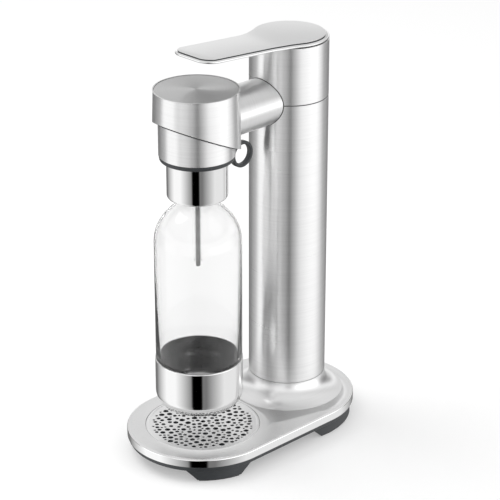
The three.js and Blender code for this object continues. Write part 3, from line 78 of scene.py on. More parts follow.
class Graph:
    """The node tree of a material or a world, with short calls to add and join nodes."""

    octaves = 3.0
    noise_gain = 0.6
    noise_low, noise_high = 0.3, 0.7

    def __init__(self, owner: bpy.types.Material | bpy.types.World) -> None:
        """Empty the owner's node tree.

        Args:
            owner: the material or world.
        """
        owner.use_nodes = True
        self.owner = owner
        self.tree = owner.node_tree
        self.tree.nodes.clear()

    def add(self, kind: str, links: dict | None = None, **settings: object) -> bpy.types.Node:
        """Add a node.

        Args:
            kind: Blender's node type.
            links: socket name or index to a value or to an output socket.
            settings: attributes of the node.

        Returns:
            The new node.
        """
        node = self.tree.nodes.new(kind)
        for key, value in settings.items():
            setattr(node, key, value)
        for key, value in (links or {}).items():
            socket = node.inputs[key]
            if isinstance(value, Socket):
                self.tree.links.new(value, socket)
            else:
                socket.default_value = value
        return node

    def principled(self, links: dict) -> bpy.types.Material:
        """Join a Principled shader to the output.

        Args:
            links: socket name to a value or to an output socket.

        Returns:
            The material.
        """
        return self.finish(self.add("ShaderNodeBsdfPrincipled", links).outputs[0])

    def finish(self, shader: Socket) -> bpy.types.Material:
        """Join the shader to the output and return the material."""
        self.add("ShaderNodeOutputMaterial", {"Surface": shader})
        return self.owner

    def math(self, operation: str, first: Socket, second: Socket | float) -> Socket:
        """Work out one number from two."""
        return self.add("ShaderNodeMath", {0: first, 1: second}, operation=operation).outputs[0]

    def ease(self, value: Socket, low: float, high: float) -> Socket:
        """Smooth step from 0 at low to 1 at high."""
        links = {"Value": value, "From Min": low, "From Max": high}
        return self.add("ShaderNodeMapRange", links, interpolation_type="SMOOTHSTEP").outputs[0]

    def spread(self, value: Socket, low: float, high: float) -> Socket:
        """Map the middle of a noise's range to low..high.

        Args:
            value: the noise's factor.
            low: result at the range's low end.
            high: result at its high end.

        Returns:
            The mapped factor.
        """
        links = {"Value": value, "From Min": self.noise_low, "From Max": self.noise_high,
                 "To Min": low, "To Max": high}
        return self.add("ShaderNodeMapRange", links).outputs[0]

    def blend(self, share: Socket, first: Socket | tuple, last: Socket | tuple) -> Socket:
        """Blend two colours, each a socket or four numbers.

        Args:
            share: share of the last one.
            first: colour at share 0.
            last: colour at share 1.

        Returns:
            The blended colour.
        """
        first_input, last_input, colour_output = 6, 7, 2
        links = {0: share, first_input: first, last_input: last}
        return self.add("ShaderNodeMix", links, data_type="RGBA").outputs[colour_output]

    def tint(self, share: Socket, low: Colour, high: Colour) -> Socket:
        """Blend two plain colours by a factor."""
        return self.blend(share, (*low, 1.0), (*high, 1.0))

    def bump(self, height: Socket, depth: float) -> Socket:
        """Bump from a height of a given depth in metres."""
        links = {"Height": height, "Distance": depth, "Strength": 1.0}
        return self.add("ShaderNodeBump", links).outputs[0]

    def grain(self, scale: tuple[float, float, float], octaves: float = octaves) -> Socket:
        """Noise on Object coordinates, stretched by a scale per axis.

        Args:
            scale: marks per metre along X, Y and Z.
            octaves: octaves of the noise.

        Returns:
            The noise's factor.
        """
        place = self.add("ShaderNodeTexCoord").outputs["Object"]
        stretched = self.add("ShaderNodeMapping", {"Vector": place, "Scale": scale})
        links = {"Vector": stretched.outputs[0], "Scale": 1.0, "Detail": octaves,
                 "Roughness": self.noise_gain}
        return self.add("ShaderNodeTexNoise", links).outputs["Fac"]

    def rings(self, scale: tuple[float, float, float], y: float) -> Socket:
        """Fine circles round the upright line through (0, y): noise of the distance from it.

        Args:
            scale: circles per metre along X and Y, and zero along Z.
            y: the line's place along Y, in millimetres.

        Returns:
            The noise's factor.
        """
        place = self.add("ShaderNodeTexCoord").outputs["Object"]
        links = {"Vector": place, "Location": (0, -y * MM * scale[1], 0), "Scale": scale}
        centred = self.add("ShaderNodeMapping", links)
        away = self.add("ShaderNodeVectorMath", {0: centred.outputs[0]}, operation="LENGTH")
        links = {"W": away.outputs["Value"], "Scale": 1.0, "Detail": self.octaves,
                 "Roughness": self.noise_gain}
        return self.add("ShaderNodeTexNoise", links, noise_dimensions="1D").outputs["Fac"]


def made_name(name: str) -> str:
    """Name of a finish's material, apart from the names of the CAD's own materials."""
    return "made_" + name


def dressing(name: str) -> Graph:
    """Start the node tree of a new material."""
    return Graph(bpy.data.materials.new(made_name(name)))


@dataclass(frozen=True)
class Metal:
    """A metal finish: brushed, satin or polished. The grain's depth is in metres."""

    name: str
    tone: float
    roughness: float
    swing: float = 0.06
    grain: Grain = Grain.LEVEL
    depth: float = 0.00002
    anisotropy: float = 0.0
    warmth: float = 0.0
    tone_swing: float = 0.04
    axis: str = "Z"
    cloud: float = 14.0
    cloud_octaves: float = 2.0
    cloud_part: float = 3.0
    brush_turn: float = 0.25
    blue_loss: float = 1.6

    def material(self) -> bpy.types.Material:
        """Build the node material.

        The marks' noise sets tone, roughness and bump, and a broad noise makes the roughness uneven.

        Returns:
            The material.
        """
        graph = dressing(self.name)
        scale = self.grain.value
        rings = self.grain is Grain.RINGS
        marks = graph.rings(scale, BOTTLE_Y) if rings else graph.grain(scale)
        cloud = graph.grain((self.cloud,) * 3, self.cloud_octaves)
        share = graph.spread(marks, 0.0, 1.0)
        shade = (1.0 + self.warmth, 1.0, 1.0 - self.warmth * self.blue_loss)
        low = tuple((self.tone - self.tone_swing) * part for part in shade)
        high = tuple(min(1.0, (self.tone + self.tone_swing) * part) for part in shade)
        rough = graph.spread(marks, self.roughness - self.swing, self.roughness + self.swing)
        uneven = self.swing / self.cloud_part
        links = {
            "Metallic": 1.0,
            "Roughness": graph.math("ADD", rough, graph.spread(cloud, -uneven, uneven)),
            "Base Color": graph.tint(share, low, high),
            "Normal": graph.bump(marks, self.depth),
        }
        if self.anisotropy:
            tangent = graph.add("ShaderNodeTangent", direction_type="RADIAL", axis=self.axis)
            links["Anisotropic"] = self.anisotropy
            links["Anisotropic Rotation"] = self.brush_turn
            links["Tangent"] = tangent.outputs[0]
        return graph.principled(links)


@dataclass(frozen=True)
class Moulding:
    """A moulded plastic, rubber or paint, with a fine grain of a depth in metres."""

    name: str
    low: Colour
    high: Colour
    roughness: float
    grain: float = 900.0
    depth: float = 0.00004
    coat: float = 0.0
    swing: float = 0.08
    cloud: float = 30.0
    cloud_octaves: float = 2.0

    def material(self) -> bpy.types.Material:
        """Build the node material.

        A fine noise sets roughness and bump, and a broad one runs between two colours.

        Returns:
            The material.
        """
        graph = dressing(self.name)
        fine = graph.grain((self.grain,) * 3)
        cloud = graph.grain((self.cloud,) * 3, self.cloud_octaves)
        return graph.principled({
            "Base Color": graph.tint(graph.spread(cloud, 0.0, 1.0), self.low, self.high),
            "Roughness": graph.spread(fine, self.roughness - self.swing, self.roughness + self.swing),
            "Normal": graph.bump(fine, self.depth),
            "Coat Weight": self.coat,
        })


@dataclass(frozen=True)
class Clear:
    """A clear, colourless plastic whose colour darkens, as painted shade, where its wall is seen edge-on.

    Its index is low and its coat's is the plastic's own, because the wall's shell would otherwise bend
    light as a solid block does.
    """

    name: str
    tone: float = 0.945
    tone_swing: float = 0.004
    # Colour of the painted shade at the grazing edges, and the facing at which it starts and is full.
    edge: float = 0.7
    shade_blue: float = 1.02
    shade_start: float = 0.8
    shade_full: float = 0.97
    facing_blend: float = 0.5
    roughness: float = 0.0
    index: float = 1.1
    skin_index: float = 1.46
    cloud: tuple[float, float, float] = (12.0, 12.0, 6.0)
    cloud_octaves: float = 1.0

    def material(self) -> bpy.types.Material:
        """Build the node material.

        Returns:
            The material.
        """
        graph = dressing(self.name)
        cloud = graph.grain(self.cloud, self.cloud_octaves)
        # Painted shade: the colour darkens to the edge tone where the wall is seen edge-on.
        facing = graph.add("ShaderNodeLayerWeight", {"Blend": self.facing_blend}).outputs["Facing"]
        rim = graph.ease(facing, self.shade_start, self.shade_full)
        low, high = (self.tone - self.tone_swing,) * 3, (self.tone,) * 3
        plain = graph.tint(graph.spread(cloud, 0.0, 1.0), low, high)
        dark = (self.edge, self.edge, self.edge * self.shade_blue, 1.0)
        return graph.principled({
            "Base Color": graph.blend(rim, plain, dark),
            "Roughness": self.roughness,
            "IOR": self.index,
            "Transmission Weight": 1.0,
            "Coat Weight": 1.0,
            "Coat Roughness": self.roughness,
            "Coat IOR": self.skin_index,
        })


class Finish(Enum):
    """Every finish on the machine.

    A Metal is given by name, tone, roughness, swing of the roughness, grain, depth and anisotropy,
    and a Moulding by name, its two colours, roughness, grain, depth and coat.
    """

    BRUSHED = Metal("brushed_steel", 0.8, 0.29, 0.015, Grain.LEVEL, 0.0000015, 0.95, tone_swing=0.03)
    ARM = Metal("brushed_arm", 0.78, 0.36, 0.02, Grain.ROUND, 0.000002, 0.6, tone_swing=0.03, axis="Y")
    DECK = Metal("satin_deck", 0.87, 0.31, 0.03, Grain.FINE, 0.000002, tone_swing=0.02)
    FLARE = Metal("brushed_flare", 0.87, 0.31, 0.03, Grain.LEVEL, 0.0000015, 0.3, tone_swing=0.02)
    LEVER = Metal("satin_lever", 0.8, 0.32, 0.02, Grain.FINE, 0.000008, tone_swing=0.02)
    SPUN = Metal("spun_disc", 0.62, 0.36, 0.05, Grain.RINGS, 0.000004, 0.85)
    GRATE = Metal("plate_steel", 0.93, 0.34, 0.04, Grain.FINE, 0.000008, tone_swing=0.01)
    POLISHED = Metal("polished_steel", 0.86, 0.04, 0.015, Grain.FINE, 0.0000005, tone_swing=0.01)
    # Inside of the polished cup: a rougher copy of its steel, darkened as painted shade.
    INNER = Metal("inner_steel", 0.52, 0.14, 0.03, Grain.ROUND, 0.000002, tone_swing=0.02)
    TUBE = Metal("tube_steel", 0.22, 0.12, 0.02, Grain.FINE, 0.0000015, tone_swing=0.01)
    SCREW = Metal("screw_steel", 0.6, 0.25, 0.05, Grain.FINE, 0.00001)
    BRASS = Metal("brass", 0.6, 0.3, 0.06, Grain.FINE, 0.00001, warmth=0.35)
    CAST = Metal("cast_alloy", 0.5, 0.5, 0.08, Grain.CAST, 0.00008)
    PLASTIC = Moulding("dark_plastic", (0.028, 0.031, 0.034), (0.04, 0.044, 0.048), 0.42)
    RUBBER = Moulding("rubber", (0.018, 0.018, 0.019), (0.03, 0.03, 0.032), 0.78, 500.0, 0.00006)
    PAINT = Moulding("cylinder_paint", (0.2, 0.26, 0.3), (0.24, 0.3, 0.34), 0.4, 300.0, 0.00005, 0.3)
    CLEAR = Clear("clear_plastic")

    def made(self) -> bpy.types.Material:
        """Return this finish's material, built on first use."""
        known = bpy.data.materials.get(made_name(self.value.name))
        return known or self.value.material()


# Surfaces


@dataclass
class Patch:
    """A grid of points. Columns close on themselves in a ring, and rows in a loop."""

    points: np.ndarray
    ring: bool = True
    loop: bool = False
    skin: int = 0

    def faces(self) -> np.ndarray:
        """Quads between neighbouring rows and columns.

        Returns:
            An array of four indices per face.
        """
        rows, columns = self.points.shape[:2]
        i = np.arange(rows if self.loop else rows - 1)
        j = np.arange(columns if self.ring else columns - 1)
        a, b = np.meshgrid(i, j, indexing="ij")
        c, d = (a + 1) % rows, (b + 1) % columns
        corners = [a * columns + b, c * columns + b, c * columns + d, a * columns + d]
        return np.stack(corners, -1).reshape(-1, 4)


@dataclass
class Sheet:
    """A flat region, with the indices of each face's corners."""

    points: np.ndarray
    corners: np.ndarray
    skin: int = 0

    def faces(self) -> np.ndarray:
        """Return the indices per face."""
        return self.corners


def smooth_mesh(name: str, parts: list[Patch | Sheet], sharp: float) -> bpy.types.Mesh:
    """Write surfaces to one mesh, weld it, turn its faces outwards and mark its sharp edges.

    Args:
        name: name of the mesh.
        parts: the surfaces, in millimetres.
        sharp: angle in degrees over which an edge stays sharp.

    Returns:
        The mesh, in metres.
    """
    weld, sliver = 0.002 * MM, 0.0005 * MM
    points = [part.points.reshape(-1, 3) for part in parts]
    starts = np.cumsum([0] + [len(flat) for flat in points])
    faces = [part.faces() + start for part, start in zip(parts, starts)]
    corners = np.concatenate([quads.ravel() for quads in faces])
    totals = np.concatenate([np.full(len(quads), quads.shape[1]) for quads in faces])
    kinds = np.concatenate([np.full(len(quads), part.skin) for part, quads in zip(parts, faces)])
    places = np.concatenate(points)
    mesh = bpy.data.meshes.new(name)
    mesh.vertices.add(len(places))
    mesh.vertices.foreach_set("co", (places * MM).astype(np.float32).ravel())
    mesh.loops.add(len(corners))
    mesh.loops.foreach_set("vertex_index", corners.astype(np.int32))
    mesh.polygons.add(len(totals))
    firsts = np.concatenate([[0], np.cumsum(totals)[:-1]])
    mesh.polygons.foreach_set("loop_start", firsts.astype(np.int32))
    mesh.polygons.foreach_set("material_index", kinds.astype(np.int32))
    mesh.update(calc_edges=True)
    body = bmesh.new()
    body.from_mesh(mesh)
    bmesh.ops.remove_doubles(body, verts=body.verts, dist=weld)
    bmesh.ops.dissolve_degenerate(body, edges=body.edges, dist=sliver)
    bmesh.ops.recalc_face_normals(body, faces=body.faces)
    body.to_mesh(mesh)
    body.free()
    mesh.shade_smooth()
    mesh.set_sharp_from_angle(angle=math.radians(sharp))
    return mesh


def placed(name: str, data: bpy.types.ID) -> bpy.types.Object:
    """Put a mesh, lamp or camera into the scene.

    Args:
        name: name of the object.
        data: what it holds.

    Returns:
        The object.
    """
    thing = bpy.data.objects.new(name, data)
    bpy.context.scene.collection.objects.link(thing)
    return thing


def piece(name: str, parts: list[Patch | Sheet], finishes: list[Finish], body: str,
          replaces: list[str], sharp: float = 30.0) -> bpy.types.Object:
    """Make one piece from surfaces, dress it and let it ride on its body.

    Args:
        name: name of the piece.
        parts: its surfaces, in millimetres.
        finishes: finishes by material index.
        body: CAD body that it rides on.
        replaces: CAD nodes that it stands for.
        sharp: angle in degrees over which an edge stays sharp.

    Returns:
        The object.
    """
    mesh = smooth_mesh(name, parts, sharp)
    thing = placed(name, mesh)
    for finish in finishes:
        mesh.materials.append(finish.made())
    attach(thing, body)
    if replaces:
        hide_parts(*replaces)
    log.info("%s: %d faces on %s", name, len(mesh.polygons), body)
    return thing


def round_angles(sides: int) -> np.ndarray:
    """Angles of equal steps round a full turn."""
    return np.linspace(0, FULL_TURN, sides, endpoint=False)


def around(radius: float | np.ndarray, angle: np.ndarray, y: float,
           height: float | np.ndarray) -> np.ndarray:
    """Points (r cos t, y + r sin t, z) round the upright line through (0, y).

    Args:
        radius: one radius, or one for each point.
        angle: angle t of each point.
        y: the line's place along Y.
        height: one height, or one for each point.

    Returns:
        An array of (x, y, z).
    """
    flat = np.broadcast_to(height, np.shape(angle))
    return np.stack([radius * np.cos(angle), y + radius * np.sin(angle), flat], -1)


def circle(x: float, y: float, radius: float, sides: int) -> np.ndarray:
    """Closed loop (x + r cos t, y + r sin t)."""
    angle = round_angles(sides)
    return np.column_stack([x + radius * np.cos(angle), y + radius * np.sin(angle)])


def level(loop: np.ndarray, height: float) -> np.ndarray:
    """Give a flat loop a height."""
    return np.column_stack([loop, np.full(len(loop), height)])


def lifted(profile: Profile, height: float) -> np.ndarray:
    """Raise a profile, whose last number is a height."""
    return np.array(profile, float) + [0.0, height]


def between(lower: np.ndarray, upper: np.ndarray, low: float, high: float, skin: int = 0) -> Patch:
    """Wall from one flat loop to another.

    Args:
        lower: first loop of (x, y).
        upper: last loop of (x, y).
        low: the first loop's height.
        high: the last loop's height.
        skin: material index.

    Returns:
        The grid of two rows.
    """
    return Patch(np.stack([level(lower, low), level(upper, high)]), skin=skin)


def rounded(corners: list[tuple[float, float, float]], steps: int = 5, guard: float = 0.2) -> np.ndarray:
    """Round the corners of a profile.

    Each corner (u, v, size) becomes the quadratic curve A(1-t)^2 + 2Pt(1-t) + Bt^2, whose ends A
    and B lie `size` away from the corner P on its two sides, at most half a side away. A guard point
    beyond each end keeps the shading of the flat sides flat, so a corner has steps + 2 points.

    Args:
        corners: places and rounding sizes, in order round the closed profile.
        steps: points per corner.
        guard: distance of the guard points from the curve's ends.

    Returns:
        The rounded closed profile as an array of (u, v).
    """
    table = np.array(corners, float)
    spot, size = table[:, :2], table[:, 2]
    share = np.linspace(0.0, 1.0, steps)[None, :, None]
    ends, guards = [], []
    for side in (np.roll(spot, 1, 0) - spot, np.roll(spot, -1, 0) - spot):
        length = np.linalg.norm(side, axis=1)
        reach = np.minimum(size, length / 2)
        further = np.minimum(reach + guard * (size > 0), length / 2)
        ends.append((spot + side * (reach / length)[:, None])[:, None])
        guards.append((spot + side * (further / length)[:, None])[:, None])
    middle = spot[:, None]
    curve = ends[0] * (1 - share) ** 2 + middle * 2 * share * (1 - share) + ends[1] * share**2
    return np.concatenate([guards[0], curve, guards[1]], 1).reshape(-1, 2)


def bar_section(wide: float, thick: float, size: float, steps: int) -> np.ndarray:
    """Rounded rectangle about the middle.

    Args:
        wide: half its width.
        thick: half its thickness.
        size: rounding size of its corners.
        steps: points per corner.

    Returns:
        The closed section as an array of (u, v).
    """
    corners = [(-wide, -thick, size), (wide, -thick, size), (wide, thick, size), (-wide, thick, size)]
    return rounded(corners, steps)


def turned(profile: np.ndarray | list, y: float, sides: int = 144, loop: bool = True,
           skin: int = 0) -> Patch:
    """Turn a profile round the upright line through (0, y).

    Row k, column t is (r cos t, y + r sin t, z) for the profile's point (r, z).

    Args:
        profile: points (radius, height).
        y: the axis's place along Y.
        sides: columns round the axis.
        loop: whether the profile closes on itself.
        skin: material index.

    Returns:
        The grid.
    """
    table = np.array(profile, float)
    angle = np.broadcast_to(round_angles(sides), (len(table), sides))
    return Patch(around(table[:, :1], angle, y, table[:, 1:2]), True, loop, skin)


def quarter(start: tuple, end: tuple, steps: int, powers: tuple = (1, 1)) -> np.ndarray:
    """Quarter curve that leaves the first point upright and meets the last one level.

    r = r1 + (r0 - r1) cos^a u and z = z0 + (z1 - z0) sin^b u, for u from 0 to a quarter turn.

    Args:
        start: first (radius, height).
        end: last (radius, height).
        steps: points on the curve.
        powers: the two powers a and b.

    Returns:
        Array of (radius, height).
    """
    turn = np.linspace(0, QUARTER_TURN, steps)
    across = np.clip(np.cos(turn), 0, 1) ** powers[0]
    along = np.sin(turn) ** powers[1]
    radius = end[0] + (start[0] - end[0]) * across
    return np.stack([radius, start[1] + (end[1] - start[1]) * along], -1)


def swept(path: np.ndarray, section: np.ndarray, loop: bool) -> Patch:
    """Carry a section along a path that lies in the YZ plane.

    The section's (u, v) go along X and along the path's normal, so a point is
    path + u X + v N, with N the tangent turned a quarter turn in the plane.

    Args:
        path: array of (y, z).
        section: closed array of (u, v).
        loop: whether the path closes on itself.

    Returns:
        The grid.
    """
    if loop:
        step = np.roll(path, -1, 0) - np.roll(path, 1, 0)
    else:
        step = np.gradient(path, axis=0)
    step = step / np.linalg.norm(step, axis=1, keepdims=True)
    normal = np.stack([-step[:, 1], step[:, 0]], -1)
    x = np.broadcast_to(section[:, 0], (len(path), len(section)))
    plane = path[:, None] + normal[:, None] * section[None, :, 1:2]
    return Patch(np.concatenate([x[..., None], plane], -1), True, loop)


def capped(patch: Patch) -> Patch:
    """Close both ends of a sweep by rows that shrink to the middle of the end section.

    Args:
        patch: the sweep, which is changed.

    Returns:
        The same sweep.
    """
    first, last = patch.points[:1], patch.points[-1:]
    ends = [np.broadcast_to(end.mean(1, keepdims=True), end.shape) for end in (first, last)]
    patch.points = np.concatenate([ends[0], patch.points, ends[1]])
    return patch


def block(low: tuple, high: tuple, edge: float) -> Patch:
    """A box with its upright edges and rims softened.

    Rows go from the middle of the floor out to the wall, up it, and in to the middle of the roof.

    Args:
        low: lowest corner.
        high: highest corner.
        edge: size of the softened edge.

    Returns:
        The grid.
    """
    (x0, y0, z0), (x1, y1, z1) = low, high
    plan = rounded([(x0, y0, edge), (x1, y0, edge), (x1, y1, edge), (x0, y1, edge)], 4)
    middle = plan.mean(0)
    half = np.array([x1 - x0, y1 - y0]) / 2
    inner = middle + (plan - middle) * (half - edge) / half
    point = np.broadcast_to(middle, plan.shape)
    rows = [(point, z0), (inner, z0), (plan, z0 + edge), (plan, z1 - edge), (inner, z1), (point, z1)]
    return Patch(np.stack([level(flat, z) for flat, z in rows]))


def rod(start: tuple, end: tuple, radius: float, sides: int = 24, edge: float = 0.3) -> Patch:
    """A round rod between two points with softened ends.

    Args:
        start: middle of the first end.
        end: middle of the last end.
        radius: the rod's radius.
        sides: columns round it.
        edge: size of the softened rim.

    Returns:
        The grid.
    """
    a, b = np.array(start, float), np.array(end, float)
    axis = (b - a) / np.linalg.norm(b - a)
    steep = 0.9
    side = np.cross(axis, [0.0, 0.0, 1.0] if abs(axis[2]) < steep else [1.0, 0.0, 0.0])
    side /= np.linalg.norm(side)
    other = np.cross(axis, side)
    angle = round_angles(sides)[:, None]
    ring = np.cos(angle) * side + np.sin(angle) * other
    rows = [(a, 0.0), (a, radius - edge), (a + axis * edge, radius), (b - axis * edge, radius),
            (b, radius - edge), (b, 0.0)]
    return Patch(np.stack([spot + ring * size for spot, size in rows]))


def enclosed(spots: np.ndarray, loop: np.ndarray) -> np.ndarray:
    """Whether points lie in a loop, by the even-odd count of sides that a ray along +X crosses.

    Args:
        spots: array of (x, y).
        loop: closed loop of (x, y).

    Returns:
        True or False for each point.
    """
    a, b = loop, np.roll(loop, -1, 0)
    x, y = spots[:, :1], spots[:, 1:2]
    crossing = (a[:, 1] > y) != (b[:, 1] > y)
    run = np.where(a[:, 1] == b[:, 1], 1.0, b[:, 1] - a[:, 1])
    ahead = x < a[:, 0] + (y - a[:, 1]) * (b[:, 0] - a[:, 0]) / run
    return (crossing & ahead).sum(1) % 2 == 1


def flat_region(outline: np.ndarray, holes: list[np.ndarray], height: float, skin: int = 0) -> Sheet:
    """Triangles that fill a flat outline around its holes.

    A triangle whose three corners belong to one hole is left out where its middle lies in the hole.

    Args:
        outline: closed loop of (x, y).
        holes: closed loops of (x, y) left open.
        height: the region's Z.
        skin: material index.

    Returns:
        The sheet.
    """
    loops = [outline, *holes]
    flat = np.concatenate(loops)
    edges, start = [], 0
    for loop in loops:
        index = np.arange(len(loop))
        edges.append(np.column_stack([index, (index + 1) % len(loop)]) + start)
        start += len(loop)
    spots = [Vector(spot) for spot in flat.tolist()]
    inside_outline, tolerance = 1, 1e-6
    found = delaunay_2d_cdt(spots, np.concatenate(edges).tolist(), [], inside_outline, tolerance)
    places = np.array([tuple(spot) for spot in found[0]])
    triangles = np.array([face for face in found[2] if len(face) == 3])
    owner = np.repeat(np.arange(len(loops)), [len(loop) for loop in loops])[triangles]
    own = np.where((owner == owner[:, :1]).all(1), owner[:, 0], 0)
    middle = places[triangles].mean(1)
    keep = np.ones(len(triangles), bool)
    for index in np.unique(own[own > 0]):
        mine = np.flatnonzero(own == index)
        keep[mine] = ~enclosed(middle[mine], loops[index])
    return Sheet(level(places, height), triangles[keep], skin)


# Base


@dataclass
class Base:
    """The long oval base: metal cover with its flare, and dark underbody with four feet."""

    radius: float = 77.5
    arc_y: float = 56.5
    arc_steps: int = 72
    sides: int = 144
    top: float = 27.1
    sheet: float = 1.6
    edge: float = 1.8
    edge_steps: int = 7
    shore: float = 1.0
    rim_bottom: float = 17.4
    rim_width: float = 2.0
    rim_soft: float = 0.4
    tray_radius: float = 58.9
    lip: float = 0.5
    lip_soft: float = 0.12
    flare_foot: float = 59.2
    flare_steps: int = 26
    flare_sides: int = 160
    column_radius: float = 40.2
    column_foot: float = 49.1
    spigot_radius: float = 37.9
    spigot_bore: float = 36.4
    spigot_top: float = 60.0
    floor: float = 12.0
    pan_top: float = 24.8
    pan_lip: float = 2.3
    band_top: float = 17.1
    band_top_inset: float = 1.7
    band_inset: float = 2.5
    band_soft: float = 0.5
    foot_show: float = 1.2
    foot_soft: float = 1.2
    foot_inner: float = 60.0
    foot_ramp: float = 12.0
    foot_steps: int = 40
    ramp_top: float = 13.0
    foot_roof: float = 14.0
    heel_inset: float = 3.2
    front_feet: tuple[tuple[float, float], ...] = ((-47, -11), (-169, -133))
    rear_feet: tuple[tuple[float, float], ...] = ((-9, 45), (135, 189))
    hatch_radius: float = 33.7
    hatch_sides: int = 96
    notch_radius: float = 36.4
    notch_half_angle: float = 19.0

    def oval(self, radius: float) -> np.ndarray:
        """Two half circles round (0, -arc_y) and (0, arc_y), joined by straight sides.

        Args:
            radius: radius of both half circles.

        Returns:
            The closed loop of (x, y).
        """
        turn = np.linspace(0, HALF_TURN, self.arc_steps)
        front = np.column_stack([-np.cos(turn), -np.sin(turn)]) * radius - [0, self.arc_y]
        back = np.column_stack([np.cos(turn), np.sin(turn)]) * radius + [0, self.arc_y]
        return np.concatenate([front, back])

    def ovals(self, profile: np.ndarray | list) -> Patch:
        """Carry a profile of (radius, height) round the oval."""
        return Patch(np.stack([level(self.oval(radius), height) for radius, height in profile]))

    def deck(self) -> None:
        """Metal cover: rim band, rounded edge, and the flat top round the tray and the flare."""
        inside = self.radius - self.edge
        edge = quarter((self.radius, self.top - self.edge), (inside, self.top), self.edge_steps)
        band_foot = [self.radius, self.rim_bottom + self.rim_soft]
        rim = np.concatenate([[band_foot], edge])
        foot = [[self.radius - self.rim_width, self.rim_bottom],
                [self.radius - self.rim_soft, self.rim_bottom], band_foot]
        shore = self.oval(inside - self.shore)
        tray = circle(0, TRAY_Y, self.tray_radius + self.lip, self.sides)
        flare = circle(0, COLUMN_Y, self.flare_foot, self.sides)
        lip = [[self.tray_radius + self.lip, self.top],
               [self.tray_radius + self.lip_soft, self.top - self.lip_soft],
               [self.tray_radius, self.top - self.lip], [self.tray_radius, self.rim_bottom]]
        parts = [
            self.ovals(foot),
            self.ovals(rim),
            between(self.oval(inside), shore, self.top, self.top, skin=1),
            flat_region(shore, [tray, flare], self.top, skin=1),
            turned(lip, TRAY_Y, self.sides, False, skin=1),
        ]
        cover = piece("deck_cover", parts, [Finish.POLISHED, Finish.DECK], "base", ["base_deck"],
                      40.0)
        wall = cover.modifiers.new("sheet", "SOLIDIFY")
        wall.thickness, wall.offset = self.sheet * MM, -1.0

    def flare(self) -> None:
        """Flare round the column's foot, with the spigot that the column stands on.

        The flank is a quarter ellipse, r = r_column + reach (1 - sin t) and z = z_foot - rise cos t,
        and the inside follows it a sheet's thickness away.
        """
        turn = np.linspace(0, QUARTER_TURN, self.flare_steps)
        reach, rise = self.flare_foot - self.column_radius, self.column_foot - self.top
        flanks = []
        for inset in (0.0, self.sheet):
            radius = self.column_radius - inset + reach * (1 - np.sin(turn))
            drop = inset * np.sin(turn) + (rise + inset) * np.cos(turn)
            flanks.append(np.column_stack([radius, self.column_foot - drop]))
        outside, inside = flanks
        spigot = [[self.column_radius, self.column_foot], [self.spigot_radius, self.column_foot],
                  [self.spigot_radius, self.spigot_top], [self.spigot_bore, self.spigot_top]]
        toe = [[self.flare_foot, self.top - self.sheet]]
        profile = np.concatenate([outside[:-1], spigot, inside[::-1], toe])
        piece("flare_skin", [turned(profile, COLUMN_Y, self.flare_sides)], [Finish.FLARE], "base", [],
              40.0)

    def foot(self, start: float, end: float, y: float) -> Patch:
        """A foot: a ring sector whose underside ramps down from inside the pan to the worktop.

        Along the angle the underside is at foot_roof on both ends and at foot_show between the ramps.
        Across it a closed section goes out along the underside and back inside the pan.

        Args:
            start: first angle in degrees.
            end: last angle in degrees.
            y: middle of the arc.

        Returns:
            The grid.
        """
        heel = self.radius - self.heel_inset
        ramp = math.degrees(self.foot_ramp / heel)
        arc = np.linspace(start, end, self.foot_steps)
        angle = np.radians([start - ramp, start - ramp, *arc, end + ramp, end + ramp])
        ends = [self.foot_roof, self.ramp_top]
        low = np.array([*ends, *np.full(self.foot_steps, self.foot_show), *ends[::-1]])
        share = (low - self.foot_show) / (self.floor - self.foot_show)
        outer = heel + (self.heel_inset - self.band_inset) * share
        side = low + self.foot_soft * (share < 0.5)
        section = [(self.foot_inner, side), (self.foot_inner + self.foot_soft, low),
                   (outer - self.foot_soft, low), (outer, side),
                   (outer, self.foot_roof), (self.foot_inner, self.foot_roof)]
        grid = [around(radius, angle, y, height) for radius, height in section]
        return capped(Patch(np.stack(grid, 1)))

    def pan(self) -> None:
        """Dark underbody with a flat floor round the hatch, a slanted band and four feet."""
        lip = self.radius - self.pan_lip
        edge = self.radius - self.band_inset
        outline = [[lip, self.pan_top], [lip, self.band_top],
                   [self.radius - self.band_top_inset, self.band_top],
                   [edge, self.floor + self.band_soft], [edge - self.band_soft, self.floor]]
        angle = round_angles(self.hatch_sides)
        sideways = np.minimum(angle % HALF_TURN, -angle % HALF_TURN)
        notch = np.degrees(sideways) < self.notch_half_angle
        reach = np.where(notch, self.notch_radius, self.hatch_radius)
        hatch = around(reach, angle, COLUMN_Y, 0.0)[:, :2]
        feet = [self.foot(*span, -self.arc_y) for span in self.front_feet]
        feet += [self.foot(*span, self.arc_y) for span in self.rear_feet]
        parts = [
            self.ovals(outline),
            flat_region(self.oval(edge - self.band_soft), [hatch], self.floor),
            flat_region(self.oval(lip), [hatch], self.pan_top),
            between(hatch, hatch, self.floor, self.pan_top),
            *feet,
        ]
        piece("underbody", parts, [Finish.PLASTIC], "base", ["base_underbody"])

    def build(self) -> None:
        """Build the base."""
        self.deck()
        self.flare()
        self.pan()


